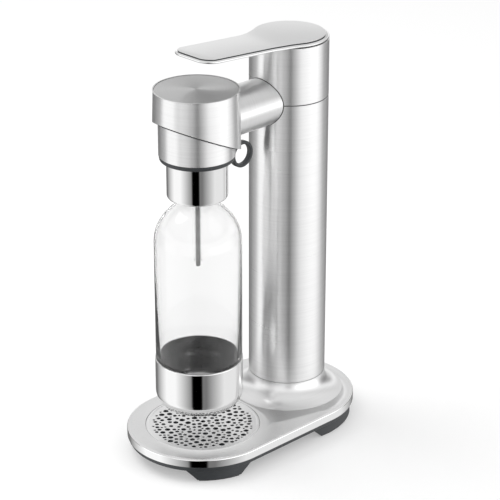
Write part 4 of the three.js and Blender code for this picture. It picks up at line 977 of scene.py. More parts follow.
@dataclass
class Hatch:
    """Cover under the gas cylinder, with a bar to grip in its dish and a tab on each side."""

    radius: float = 33.3
    bottom: float = 12.3
    top: float = 17.0
    soft: float = 0.4
    sides: int = 96
    dish_radius: float = 26.0
    dish_roof: float = 13.9
    grip_half: float = 3.5
    grip_floor: float = 12.35
    grip_roof: float = 15.0
    grip_soft: float = 0.8
    tab_radius: float = 36.0
    tab_floor: float = 15.3
    tab_half_angle: float = 18.0
    tab_steps: int = 16

    def tab(self, middle: float) -> Patch:
        """A ring sector that locks behind the pan's notch.

        Args:
            middle: middle angle in degrees.

        Returns:
            The grid.
        """
        half = self.tab_half_angle
        angle = np.radians(np.linspace(middle - half, middle + half, self.tab_steps))
        section = [(self.dish_radius, self.tab_floor), (self.tab_radius, self.tab_floor),
                   (self.tab_radius, self.top), (self.dish_radius, self.top)]
        grid = [around(radius, angle, COLUMN_Y, height) for radius, height in section]
        return capped(Patch(np.stack(grid, 1)))

    def build(self) -> None:
        """Build the cover."""
        profile = [[0, self.dish_roof], [self.dish_radius - self.soft, self.dish_roof],
                   [self.dish_radius, self.bottom], [self.radius - self.soft, self.bottom],
                   [self.radius, self.bottom + self.soft], [self.radius, self.top], [0, self.top]]
        grip = block((-self.grip_half, COLUMN_Y - self.dish_radius, self.grip_floor),
                     (self.grip_half, COLUMN_Y + self.dish_radius, self.grip_roof), self.grip_soft)
        parts = [turned(profile, COLUMN_Y, self.sides, False), grip, self.tab(90.0), self.tab(270.0)]
        piece("hatch_cover", parts, [Finish.PLASTIC], "cover", ["cylinder_cover"])


@dataclass
class Tray:
    """Drip cup and the perforated plate over it."""

    radius: float = 58.6
    top: float = 27.1
    thickness: float = 1.4
    rise: float = 0.5
    rim: float = 2.9
    rim_slope: float = 0.3
    rim_step: float = 0.5
    rim_soft: float = 0.12
    edge: float = 0.4
    foot_soft: float = 0.2
    sides: int = 144
    field: float = 52.6
    web: float = 1.1
    seed: int = 11
    drops: tuple[tuple[float, int, int], ...] = ((2.75, 60, 9000), (2.1, 100, 12000), (1.35, 90, 12000))
    uneven: tuple[float, float] = (0.9, 1.08)
    hole_sides: int = 14
    hole_grow: float = 0.16
    hole_depth: float = 0.18
    cup_radius: float = 58.3
    cup_floor: float = 15.3
    cup_top: float = 25.4
    cup_wall: float = 1.8
    cup_foot_round: float = 1.5
    cup_lip_round: float = 0.4
    cup_inner_round: float = 1.2
    cup_sides: int = 120

    def holes(self) -> list[tuple[float, float, float]]:
        """Bubble-like holes: circles dropped at random, the largest first, that keep a thin web apart.

        Each row of drops gives a radius, how many holes keep it, and how many tries it has.

        Returns:
            The middle and radius of each hole.
        """
        chance = np.random.default_rng(self.seed)
        made = np.empty((0, 3))
        for size, count, tries in self.drops:
            enough = len(made) + count
            spots = chance.uniform(-self.field, self.field, (tries, 2))
            for x, y in spots[np.hypot(*spots.T) < self.field - size]:
                radius = size * chance.uniform(*self.uneven)
                gap = np.hypot(made[:, 0] - x, made[:, 1] - y) - made[:, 2] - radius
                if gap.size and gap.min() < self.web:
                    continue
                made = np.vstack([made, [x, y, radius]])
                if len(made) == enough:
                    break
        return [tuple(row) for row in made.tolist()]

    def plate(self) -> None:
        """Perforated plate: two faces, a bevelled wall in each hole, and a raised rim."""
        top, bottom = self.top - self.rise, self.top - self.thickness
        wide, narrow, walls = [], [], []
        for x, y, radius in self.holes():
            outer = circle(x, y + TRAY_Y, radius + self.hole_grow, self.hole_sides)
            inner = circle(x, y + TRAY_Y, radius, self.hole_sides)
            rows = [level(outer, top), level(inner, top - self.hole_depth), level(inner, bottom)]
            wide.append(outer)
            narrow.append(inner)
            walls.append(Patch(np.stack(rows)))
        shore, foot = self.radius - self.rim, self.radius - self.foot_soft
        profile = [[shore, top], [shore + self.rim_slope, self.top - self.rim_soft],
                   [shore + self.rim_step, self.top], [self.radius - self.edge, self.top],
                   [self.radius, self.top - self.edge], [self.radius, bottom + self.foot_soft],
                   [foot, bottom]]
        parts = [flat_region(circle(0, TRAY_Y, shore, self.sides), wide, top),
                 flat_region(circle(0, TRAY_Y, foot, self.sides), narrow, bottom),
                 turned(profile, TRAY_Y, self.sides, False), *walls]
        piece("drip_plate", parts, [Finish.GRATE], "grate", ["drip_grate"])

    def cup(self) -> None:
        """Shallow dark cup under the plate."""
        inner, floor = self.cup_radius - self.cup_wall, self.cup_floor + self.cup_wall
        lip = self.cup_lip_round
        profile = rounded([(0, self.cup_floor, 0), (self.cup_radius, self.cup_floor, self.cup_foot_round),
                           (self.cup_radius, self.cup_top, lip), (inner, self.cup_top, lip),
                           (inner, floor, self.cup_inner_round), (0, floor, 0)])
        piece("tray_cup", [turned(profile, TRAY_Y, self.cup_sides)], [Finish.PLASTIC], "tray",
              ["drip_cup"])

    def build(self) -> None:
        """Build the tray."""
        self.plate()
        self.cup()


# Column, arm and head


@dataclass
class Column:
    """Two brushed tubes over the gas cylinder, and the arm to the head."""

    radius: float = 40.2
    wall: float = 2.0
    foot: float = 49.6
    top: float = 416.0
    sides: int = 192
    inner_soft: float = 0.2
    foot_soft: float = 0.25
    seam: float = 357.0
    seam_gap: float = 0.9
    seam_soft: float = 0.25
    top_soft: float = 0.5
    arm_radius: float = 24.5
    arm_end: float = 42.0
    arm_sides: int = 128
    head_reach: float = 43.4
    bead: float = 0.9
    bead_out: float = 0.45
    bead_along: float = 0.75
    bead_sides: int = 10
    ring_inner: float = 0.2
    ring_outer: float = 0.35
    ring_slack: float = 0.02
    ring_sides: int = 144

    def tubes(self) -> None:
        """Lower and upper tube as turned walls with softened edges."""
        inner = self.radius - self.wall
        low, high = self.seam - self.seam_gap / 2, self.seam + self.seam_gap / 2
        tubes = (("column_lower", "lower_column", self.foot, low, self.seam_soft),
                 ("column_upper", "upper_column", high, self.top, self.top_soft))
        for name, node, foot, top, edge in tubes:
            profile = rounded([(inner, foot, self.inner_soft), (self.radius, foot, self.foot_soft),
                               (self.radius, top, edge), (inner, top, self.inner_soft)])
            piece(name, [turned(profile, COLUMN_Y, self.sides)], [Finish.BRUSHED], "base", [node])

    def arm(self) -> None:
        """Tube along Y whose front end follows the head's round wall: y = y_head + sqrt(R^2 - x^2)."""
        turn = round_angles(self.arm_sides)
        outer, inner = self.arm_radius, self.arm_radius - self.wall
        rows = []
        for radius, at_head in ((outer, True), (outer, False), (inner, False), (inner, True)):
            x, z = radius * np.cos(turn), self.seam + radius * np.sin(turn)
            saddle = BOTTLE_Y + np.sqrt(self.head_reach**2 - x**2)
            y = saddle if at_head else np.full(self.arm_sides, self.arm_end)
            rows.append(np.column_stack([x, y, z]))
        piece("arm_sleeve", [Patch(np.stack(rows), True, True)], [Finish.ARM], "base", ["arm_tube"])

    def seams(self) -> None:
        """Dark strips that paint the shade in the joints: a bead round the arm where it meets the column,
        and a ring in the parting.

        The bead's path is (r cos t, y_column - sqrt(R^2 - x^2), z_arm + r sin t), and its section is a
        small oval carried along it by the frame of the arm's radius and the arm's axis.
        """
        # The bead and the ring are dark rubber laid in the seams, as painted shade.
        turn = round_angles(self.arm_sides)[:, None]
        section = round_angles(self.bead_sides)[None, :]
        reach = self.arm_radius + self.bead * self.bead_out * np.cos(section)
        x, z = reach * np.cos(turn), self.seam + reach * np.sin(turn)
        y = COLUMN_Y - np.sqrt(self.radius**2 - x**2) + self.bead * self.bead_along * np.sin(section)
        bead = Patch(np.stack([x, y, z], -1), True, True)
        inner, outer = self.radius - self.wall + self.ring_inner, self.radius - self.ring_outer
        half = self.seam_gap / 2 - self.ring_slack
        low, high = self.seam - half, self.seam + half
        ring = rounded([(inner, low, 0), (outer, low, 0), (outer, high, 0), (inner, high, 0)], 2)
        piece("joint_shade", [bead, turned(ring, COLUMN_Y, self.ring_sides)], [Finish.RUBBER], "base", [],
              60.0)

    def build(self) -> None:
        """Build column and arm."""
        self.tubes()
        self.arm()
        self.seams()


@dataclass
class Head:
    """Short drum over the bottle with a slanted foot and a spun top."""

    radius: float = 43.1
    wall: float = 2.0
    top: float = 392.3
    edge: float = 0.8
    inner_edge: float = 0.3
    foot_soft: float = 0.25
    sides: int = 192
    slant_middle: float = 344.49
    slant_slope: float = 0.457
    disc_drop: float = 0.3
    disc_gap: float = 0.06
    disc_soft: float = 0.15
    disc_thickness: float = 2.0
    disc_rings: int = 40
    disc_sides: int = 144
    peak: float = 0.25

    def slant(self, y: np.ndarray) -> np.ndarray:
        """Height of the parting plane: z = middle - slope (y - bottle's y)."""
        return self.slant_middle - self.slant_slope * (y - BOTTLE_Y)

    def slanted(self, radius: float, angle: np.ndarray, lift: float) -> np.ndarray:
        """A circle laid on the parting plane.

        Args:
            radius: the circle's radius, seen from above.
            angle: angle of each point.
            lift: height over the plane.

        Returns:
            An array of (x, y, z).
        """
        return around(radius, angle, BOTTLE_Y, self.slant(BOTTLE_Y + radius * np.sin(angle)) + lift)

    def shell(self) -> None:
        """Drum: the roof's points stand at their own heights, and the foot's follow the slant."""
        turn = round_angles(self.sides)
        inner, soft = self.radius - self.wall, self.foot_soft
        rows = [self.slanted(self.radius - soft, turn, 0.0), self.slanted(self.radius, turn, soft),
                self.slanted(self.radius, turn, 2 * soft)]
        roof = rounded([(self.radius, self.top, self.edge), (inner, self.top, self.inner_edge)])
        rows += [around(radius, turn, BOTTLE_Y, height) for radius, height in roof]
        rows.append(self.slanted(inner, turn, 0.0))
        piece("head_shell", [Patch(np.stack(rows), True, True)], [Finish.BRUSHED], "base",
              ["head_housing"])

    def disc(self) -> None:
        """Spun top, a very flat cone: z = top + peak (1 - r / edge)."""
        top, soft = self.top - self.disc_drop, self.disc_soft
        edge = self.radius - self.wall - self.disc_gap
        radius = np.linspace(0, edge - soft, self.disc_rings)
        cone = np.column_stack([radius, top + self.peak * (1 - radius / edge)])
        foot = top - self.disc_thickness
        profile = np.concatenate([cone, [[edge, top - soft], [edge, foot], [0, foot]]])
        piece("head_top", [turned(profile, BOTTLE_Y, self.disc_sides, False)], [Finish.SPUN], "base",
              ["head_disc"])

    def build(self) -> None:
        """Build the head."""
        self.shell()
        self.disc()


# Lever


@dataclass
class Lever:
    """Disc over the column and a paddle to the front, with a polished rim round a satin skin."""

    gap: float = 0.8
    column_top: float = 416.0
    thickness: float = 4.3
    ledge: float = 2.9
    rim: float = 3.1
    rim_flat: float = 0.6
    rim_lean: float = 0.18
    rim_height: float = 0.97
    rim_steps: int = 15
    lip: Profile = ((1.2, -0.02), (0.4, 0.0), (-0.4, -0.05))
    # Profile of the dark strip between rim and skin, which paints the shade in the crease.
    shade_strip_foot: Profile = ((-0.4, -0.05), (-0.75, 0.0))
    shade_strip_top: Profile = ((-0.8, -0.4), (-1.6, -0.35))
    skin_edge: Profile = ((-0.6, -0.55), (-0.3, -0.5), (-0.32, -0.3), (-0.6, -0.08), (-1.2, 0.0))
    under: Profile = ((-6.6, 0.0), (-6.2, 0.0), (-6.0, 0.0))
    disc: float = 36.9
    tip: float = 68.5
    half_width: float = 25.2
    corner: float = 13.0
    least_corner: float = 0.5
    fillet: float = 80.0
    plan_share: float = 0.8
    bend_start: float = 36.0
    bend_ease: float = 14.0
    rise: float = 0.0775
    pocket: float = 1.9
    pocket_start: float = 20.0
    pocket_end: float = 62.0
    pocket_ramp: float = 1.5
    stations: int = 220
    front_steps: int = 25

    def half(self, y: np.ndarray, grow: float) -> np.ndarray:
        """Half width of the plan: a disc, a fillet, the straight paddle and a round corner.

        Args:
            y: places along Y.
            grow: how far the outline is grown.

        Returns:
            The half width at each place.
        """
        paddle, radius = self.half_width + grow * self.plan_share, self.disc + grow
        fillet_x = paddle + self.fillet
        fillet_y = COLUMN_Y - math.sqrt((self.fillet + radius) ** 2 - fillet_x**2)
        tangent = COLUMN_Y + (fillet_y - COLUMN_Y) * radius / (self.fillet + radius)
        corner = max(self.corner + grow, self.least_corner)
        corner_y = corner - self.tip - grow * self.plan_share
        disc = np.sqrt(np.maximum(0, radius**2 - (y - COLUMN_Y) ** 2))
        neck = fillet_x - np.sqrt(np.maximum(0, self.fillet**2 - (y - fillet_y) ** 2))
        nose = paddle - corner + np.sqrt(np.maximum(0, corner**2 - (corner_y - y) ** 2))
        straight = np.full_like(y, paddle)
        return np.select([y >= tangent, y >= fillet_y, y >= corner_y], [disc, neck, straight], nose)

    def climb(self, y: np.ndarray) -> np.ndarray:
        """Rise towards the tip: zero behind the bend, a parabola over it, then a straight slope.

        Args:
            y: places along Y.

        Returns:
            The rise at each place.
        """
        ahead = self.bend_start - y
        eased = self.rise * ahead**2 / (self.bend_ease * 2)
        straight = self.rise * (ahead - self.bend_ease / 2)
        return np.select([ahead <= 0, ahead < self.bend_ease], [0 * y, eased], straight)

    def shell(self, layers: np.ndarray, skin: int = 0) -> list[Patch]:
        """Loft cross-sections along Y through layers of (grow, height), and close the tip.

        Stations stand at (1 - cos) shares of each layer's own length, and each section goes up the
        right side and down the left one.

        Args:
            layers: array of (grow, height) from the bottom to the top.
            skin: material index.

        Returns:
            The loft, and the straight front between the two tip corners.
        """
        share = (1 - np.cos(np.linspace(0, HALF_TURN, self.stations))) / 2
        right = []
        for grow, height in layers.tolist():
            low, high = -self.tip - grow * self.plan_share, COLUMN_Y + self.disc + grow
            y = low + (high - low) * share
            z = self.column_top + self.gap + height + self.climb(y)
            right.append(np.stack([self.half(y, grow), y, z], -1))
        side = np.stack(right, 1)
        left = side[:, ::-1] * [-1, 1, 1]
        across = np.linspace(1, -1, self.front_steps)[:, None, None]
        front = side[0] * np.concatenate([across, np.ones_like(across), np.ones_like(across)], 2)
        return [Patch(np.concatenate([side, left], 1), skin=skin), Patch(front, False, skin=skin)]

    def body(self) -> None:
        """Polished body with a rounded rim, a dark strip of painted shade round the skin, and a pocket
        below.

        The rim's section is out = rim (flat + (1 - flat) cos t)(1 - lean sin^2 t) and
        up = ledge / 2 (1 + sin t). The pocket clears the column's edge: the inner layers of the
        underside rise by its depth between its two ends along Y, over a short ramp.
        """
        turn = np.linspace(-QUARTER_TURN, QUARTER_TURN, self.rim_steps)
        bulge = self.rim_flat + (1 - self.rim_flat) * np.cos(turn)
        lean = 1 - self.rim_lean * np.maximum(0, np.sin(turn)) ** 2
        up = self.ledge / 2 * (1 + np.sin(turn)) * self.rim_height
        rim = np.column_stack([self.rim * bulge * lean, up])
        lip = lifted(self.lip, self.ledge)
        # The dark strip between rim and skin is painted shade in the crease.
        shade_strip = np.concatenate([lifted(self.shade_strip_foot, self.ledge), lifted(self.shade_strip_top, self.thickness)])
        loft, front = self.shell(np.concatenate([self.under, rim, lip]))
        raised = [0, 1, -2, -1]
        y = loft.points[:, raised, 1]
        depth = np.minimum(y - self.pocket_start, self.pocket_end - y) / self.pocket_ramp
        loft.points[:, raised, 2] += self.pocket * np.clip(depth, 0, 1)
        piece("lever_body", [loft, front, *self.shell(shade_strip, 1)], [Finish.POLISHED, Finish.PLASTIC],
              "lever", ["lever_frame"], 50.0)

    def skin(self) -> None:
        """Satin skin on the lever's top, with a softened edge."""
        layers = lifted(self.skin_edge, self.thickness)
        piece("lever_skin", self.shell(layers), [Finish.LEVER], "lever", ["lever_top"],
              50.0)

    def build(self) -> None:
        """Build the lever."""
        self.body()
        self.skin()


# Cap


@dataclass
class Cap:
    """Cap over the bottle's neck: brushed shell, dark ring, polished collar and release ring."""

    radius: float = 37.8
    wall: float = 1.8
    sides: int = 192
    parting: float = 1.2
    soft: float = 0.3
    guard: float = 0.5
    ring_top: float = 325.3
    ring_foot: float = 320.3
    ring_gap: float = 0.3
    ring_inset: float = 0.5
    ring_bore: float = 31.0
    ring_taper: float = 0.6
    ring_taper_height: float = 2.2
    ring_round: float = 1.2
    ring_soft: float = 0.2
    ear_near: float = 2.9
    ear_far: float = 5.1
    ear_length: float = 5.2
    collar: float = 30.3
    collar_wall: float = 1.5
    collar_foot: float = 280.8
    collar_round: float = 3.0
    collar_steps: int = 9
    collar_guard: float = 0.4
    collar_sides: int = 160
    neck_bore: float = 21.8
    neck_soft: float = 0.2
    hinge_y: float = -19.5
    hinge_z: float = 321.5
    hinge_radius: float = 2.6
    pull_radius: float = 13.8
    pull_band: float = 3.5
    pull_half: float = 3.0
    pull_round: float = 1.2
    pull_reach: float = 19.2
    pull_drop: float = 12.2
    pull_steps: int = 72
    pull_corner_steps: int = 6
    strap_half: float = 2.5
    strap_thick: float = 1.6
    strap_round: float = 0.8
    strap_bend: tuple[float, float] = (9.0, 0.9)
    strap_steps: int = 16
    strap_corner_steps: int = 4
    nose_length: float = 18.0
    nose_half: float = 1.2
    block_soft: float = 0.4

    def shell(self, head: Head) -> None:
        """Brushed shell whose top follows the head's slant, a parting gap below it.

        Args:
            head: the head over it.
        """
        turn = round_angles(self.sides)
        inner, narrow = self.radius - self.wall, self.radius - self.soft
        foot = ((inner, 0.0), (narrow, 0.0), (self.radius, self.soft), (self.radius, self.guard))
        rows = [around(radius, turn, BOTTLE_Y, self.ring_top + lift) for radius, lift in foot]
        roof = ((self.radius, self.guard), (self.radius, self.soft), (narrow, 0.0), (inner, 0.0))
        rows += [head.slanted(radius, turn, -self.parting - drop) for radius, drop in roof]
        piece("cap_skin", [Patch(np.stack(rows), True, True)], [Finish.BRUSHED], "cap", ["cap_shell"])

    def ring(self) -> None:
        """Dark ring under the shell with two hinge ears."""
        outer = self.radius - self.ring_inset
        low, high = self.ring_foot + self.ring_gap, self.ring_top - self.ring_gap
        profile = rounded([(self.ring_bore, low, self.ring_soft),
                           (outer - self.ring_taper, low, self.ring_round),
                           (outer, low + self.ring_taper_height, self.ring_round),
                           (outer, high, self.soft), (self.ring_bore, high, self.ring_soft)])
        parts = [turned(profile, BOTTLE_Y)]
        y, z = self.hinge_y, self.hinge_z
        for side in (-1, 1):
            left, right = sorted((side * self.ear_near, side * self.ear_far))
            parts.append(block((left, y - self.ear_length, low), (right, y, high), self.block_soft))
            parts.append(rod((left, y, z), (right, y, z), self.hinge_radius))
        piece("cap_band", parts, [Finish.PLASTIC], "cap", ["cap_ring"])

    def neck(self) -> None:
        """Polished collar, rounded in to a lip round the bottle's neck."""
        foot, wall = self.collar_foot, self.collar_wall
        bend = quarter((self.collar, foot + self.collar_round), (self.collar - self.collar_round, foot),
                       self.collar_steps)
        inner = self.collar - wall
        lip = [[self.neck_bore, foot + wall], [self.neck_bore, foot + self.neck_soft],
               [self.neck_bore + self.neck_soft, foot]]
        side = [[self.collar, foot + self.collar_round + self.collar_guard],
                [self.collar, self.ring_foot], [inner, self.ring_foot], [inner, foot + 2 * wall],
                [inner - wall, foot + wall]]
        profile = np.concatenate([lip, bend[::-1], side])
        piece("collar_skin", [turned(profile, BOTTLE_Y, self.collar_sides)], [Finish.POLISHED], "cap",
              ["cap_collar"])

    def release(self) -> None:
        """Finger ring: a flat band with a rounded section on a circle, its strap, eye and nose.

        The strap's path is the quadratic curve A(1-t)^2 + 2Pt(1-t) + Bt^2 from the hinge to the top
        of the band, by way of its bend P.
        """
        x, y, z = self.strap_half, self.hinge_y, self.hinge_z
        middle_y, middle_z = y + self.pull_reach, z - self.pull_drop
        thick = self.pull_band / 2
        middle = self.pull_radius - thick
        loop = circle(middle_y, middle_z, middle, self.pull_steps)
        section = bar_section(self.pull_half, thick, self.pull_round, self.pull_corner_steps)
        share = np.linspace(0, 1, self.strap_steps)[:, None]
        start, end = np.array([y, z]), np.array([middle_y, middle_z + middle])
        bend = start + self.strap_bend
        path = (1 - share) ** 2 * start + 2 * share * (1 - share) * bend + share**2 * end
        strap = bar_section(x, self.strap_thick, self.strap_round, self.strap_corner_steps)
        nose_low = (-x, y - self.nose_length, z - self.nose_half)
        parts = [
            swept(loop, section, True),
            capped(swept(path, strap, False)),
            rod((-x, y, z), (x, y, z), self.hinge_radius),
            block(nose_low, (x, y, z + self.nose_half), self.block_soft),
        ]
        piece("pull_ring", parts, [Finish.PLASTIC], "release", ["release_ring"], 32.0)

    def build(self, head: Head) -> None:
        """Build the cap.

        Args:
            head: the head over it.
        """
        self.shell(head)
        self.ring()
        self.neck()
        self.release()


# Bottle


@dataclass(frozen=True)
class Pipe:
    """An upright pipe in the bottle, with rounded ends."""

    bore: float
    radius: float
    foot: float
    bore_round: float
    foot_round: float
    top: float = 315.0
    top_round: float = 0.2
    sides: int = 48

    def wall(self) -> Patch:
        """Turn the pipe's wall round the bottle's axis.

        Returns:
            The grid.
        """
        bore, radius, foot, top = self.bore, self.radius, self.foot, self.top
        profile = rounded([(bore, foot, self.bore_round), (radius, foot, self.foot_round),
                           (radius, top, self.top_round), (bore, top, self.top_round)])
        return turned(profile, BOTTLE_Y, self.sides)


@dataclass
class Bottle:
    """Clear bottle in its polished cup, and the tube that hangs in it."""

    radius: float = 43.9
    wall: float = 2.0
    sides: int = 160
    shoulder: float = 231.7
    shoulder_powers: tuple[float, float] = (2.0, 0.9)
    shoulder_steps: int = 28
    neck_foot: float = 276.2
    neck: float = 17.5
    top: float = 306.0
    lip_soft: float = 0.6
    thread: Profile = ((0.0, 292.0), (1.2, 293.4), (1.2, 294.6), (0.0, 296.0))
    foot_steps: int = 22
    step_start: float = 105.3
    step: float = 106.1
    step_end: float = 106.5
    step_low: float = 0.3
    step_high: float = 0.4
    inner_step: float = 106.0
    inner_step_end: float = 109.0
    cup_radius: float = 44.6
    cup_sheet: float = 1.5
    cup_gap: float = 0.3
    cup_rim: float = 105.8
    cup_rim_round: float = 0.75
    cup_rim_steps: int = 6
    cup_rim_side: float = 5.0
    cup_bend: float = 70.3
    cup_guard: float = 0.5
    cup_foot: float = 52.3
    cup_foot_radius: float = 26.6
    cup_steps: int = 40
    cup_inner_steps: int = 30
    sleeve: Pipe = Pipe(2.8, 4.25, 212.0, 0.4, 1.0)
    tube: Pipe = Pipe(0.9, 2.3, 206.0, 0.2, 0.9)

    def vessel(self) -> None:
        """Bottle: outer and inner wall as one turned profile."""
        wall, bore = self.wall, self.radius - self.wall
        waist = self.cup_radius - self.cup_sheet - self.cup_gap
        floor = self.cup_foot + self.cup_sheet + self.cup_gap
        foot_radius = self.cup_foot_radius - self.cup_sheet
        neck, neck_bore = self.neck, self.neck - wall
        foot = quarter((waist, self.cup_bend), (foot_radius, floor), self.foot_steps)
        inner_foot = quarter((waist - wall, self.cup_bend), (foot_radius - wall, floor + wall),
                             self.foot_steps)
        shoulder = quarter((self.radius, self.shoulder), (neck, self.neck_foot), self.shoulder_steps,
                           self.shoulder_powers)
        inner_shoulder = quarter((bore, self.shoulder), (neck_bore, self.neck_foot - wall),
                                 self.shoulder_steps, self.shoulder_powers)
        step = [[waist, self.step_start], [waist + self.step_low, self.step],
                [self.radius - self.step_high, self.step], [self.radius, self.step_end]]
        thread = [[neck + out, height] for out, height in self.thread]
        lip = [[neck, self.top - self.lip_soft], [neck - self.lip_soft, self.top], [neck_bore, self.top]]
        inner_step = [[bore, self.inner_step_end], [waist - wall, self.inner_step]]
        profile = np.concatenate([
            [[0, floor]], foot[::-1], step, shoulder, thread, lip,
            inner_shoulder[::-1], inner_step, inner_foot, [[0, floor + wall]],
        ])
        piece("bottle_wall", [turned(profile, BOTTLE_Y, self.sides, False)], [Finish.CLEAR], "bottle_set",
              ["bottle"], 26.0)

    def cup(self) -> None:
        """Polished cup: curved wall, rolled rim and a flat floor."""
        inner, floor = self.cup_radius - self.cup_sheet, self.cup_foot + self.cup_sheet
        outside = quarter((self.cup_radius, self.cup_bend), (self.cup_foot_radius, self.cup_foot),
                          self.cup_steps)
        inside = quarter((inner, self.cup_bend), (self.cup_foot_radius - self.cup_sheet, floor),
                         self.cup_inner_steps)
        below = self.cup_rim - self.cup_rim_side
        rolled = rounded([(self.cup_radius, below, 0), (self.cup_radius, self.cup_rim, self.cup_rim_round),
                          (inner, self.cup_rim, self.cup_rim_round), (inner, below, 0)],
                         self.cup_rim_steps)
        corner = self.cup_rim_steps + 2
        rim = rolled[corner:3 * corner]
        guard = [[self.cup_radius, self.cup_bend + self.cup_guard]]
        shown = np.concatenate([[[0, self.cup_foot]], outside[::-1], guard, rim])
        hidden = np.concatenate([rim[-1:], inside, [[0, floor]]])
        # The cup's inside takes the darker INNER steel, which is painted shade.
        parts = [turned(shown, BOTTLE_Y, self.sides, False),
                 turned(hidden, BOTTLE_Y, self.sides, False, skin=1)]
        piece("cup_skin", parts, [Finish.POLISHED, Finish.INNER], "bottle_set", ["bottle_cup"])

    def pipes(self) -> None:
        """Steel carbonating tube in its clear sleeve."""
        piece("clear_sleeve", [self.sleeve.wall()], [Finish.CLEAR], "cap", ["tube_sleeve"])
        piece("gas_tube", [self.tube.wall()], [Finish.TUBE], "cap", ["carbonating_tube"])

    def build(self) -> None:
        """Build the bottle."""
        self.vessel()
        self.cup()
        self.pipes()


# Carried nodes


@dataclass(frozen=True)
class Carried:
    """CAD nodes whose own solids stay, by finish."""

    plastic: tuple[str, ...] = ("column_top_plate", "docking_block", "cap_core")
    rubber: tuple[str, ...] = (
        "foot_pad_front_right", "foot_pad_front_left", "foot_pad_rear_right", "foot_pad_rear_left",
        "cylinder_cushion", "valve_seal", "injector_seal", "inlet_valve", "neck_seal")
    screw: tuple[str, ...] = (
        "deck_screw_front_right", "deck_screw_front_left", "deck_screw_rear_right", "deck_screw_rear_left",
        "arm_screw_left", "arm_screw_right", "valve_pin", "plunger_spring", "valve_plunger", "gas_pipe",
        "lever_pin", "ring_pin", "vent_poppet")
    brass: tuple[str, ...] = ("cylinder_valve", "valve_body", "relief_valve", "pipe_nut")
    cast: tuple[str, ...] = ("column_core", "wedge_slider", "lever_bracket")
    paint: tuple[str, ...] = ("co2_cylinder",)

    def dress(self) -> None:
        """Give every carried node its finish."""
        groups = ((self.plastic, Finish.PLASTIC), (self.rubber, Finish.RUBBER), (self.screw, Finish.SCREW),
                  (self.brass, Finish.BRASS), (self.cast, Finish.CAST), (self.paint, Finish.PAINT))
        for names, finish in groups:
            for name in names:
                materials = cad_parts[name].data.materials
                materials.clear()
                materials.append(finish.made())
                log.info("%s: %s", name, finish.name)


# Studio


@dataclass(frozen=True)
class Lamp:
    """A round soft lamp aimed at the object, with its place and size in metres."""

    name: str
    place: tuple[float, float, float]
    size: float
    power: float
    aim: tuple[float, float, float] = (0.0, 0.0, 0.15)

    def build(self) -> None:
        """Hang the lamp. Shiny surfaces don't mirror it."""
        data = bpy.data.lights.new(self.name, "AREA")
        data.shape, data.size, data.energy = "DISK", self.size, self.power
        lamp = placed(self.name, data)
        lamp.location = self.place
        aim = Vector(self.aim) - Vector(self.place)
        lamp.rotation_euler = aim.to_track_quat("-Z", "Y").to_euler()
        lamp.visible_glossy = False


@dataclass(frozen=True)
class Softbox:
    """A tall soft box beside the object, as shiny surfaces mirror it.

    Its middle, its evenly lit width and the fade on each side are in degrees of azimuth. One whose
    tone is below zero is a black card, which takes light away.
    """

    middle: float
    width: float
    fade: float
    tone: float

    def corners(self) -> np.ndarray:
        """The four azimuths at which its tone bends, from -180 to 180."""
        half = self.width / 2
        turned = self.middle + np.array([-half - self.fade, -half, half, half + self.fade])
        return (turned + 180.0) % 360.0 - 180.0

    def light(self, azimuth: np.ndarray) -> np.ndarray:
        """Full tone over the width, and a straight fall to nothing over the fade on each side.

        Args:
            azimuth: angles in degrees.

        Returns:
            The tone at each angle.
        """
        away = np.abs((azimuth - self.middle + 180.0) % 360.0 - 180.0)
        return self.tone * np.clip((self.width / 2 + self.fade - away) / self.fade, 0.0, 1.0)


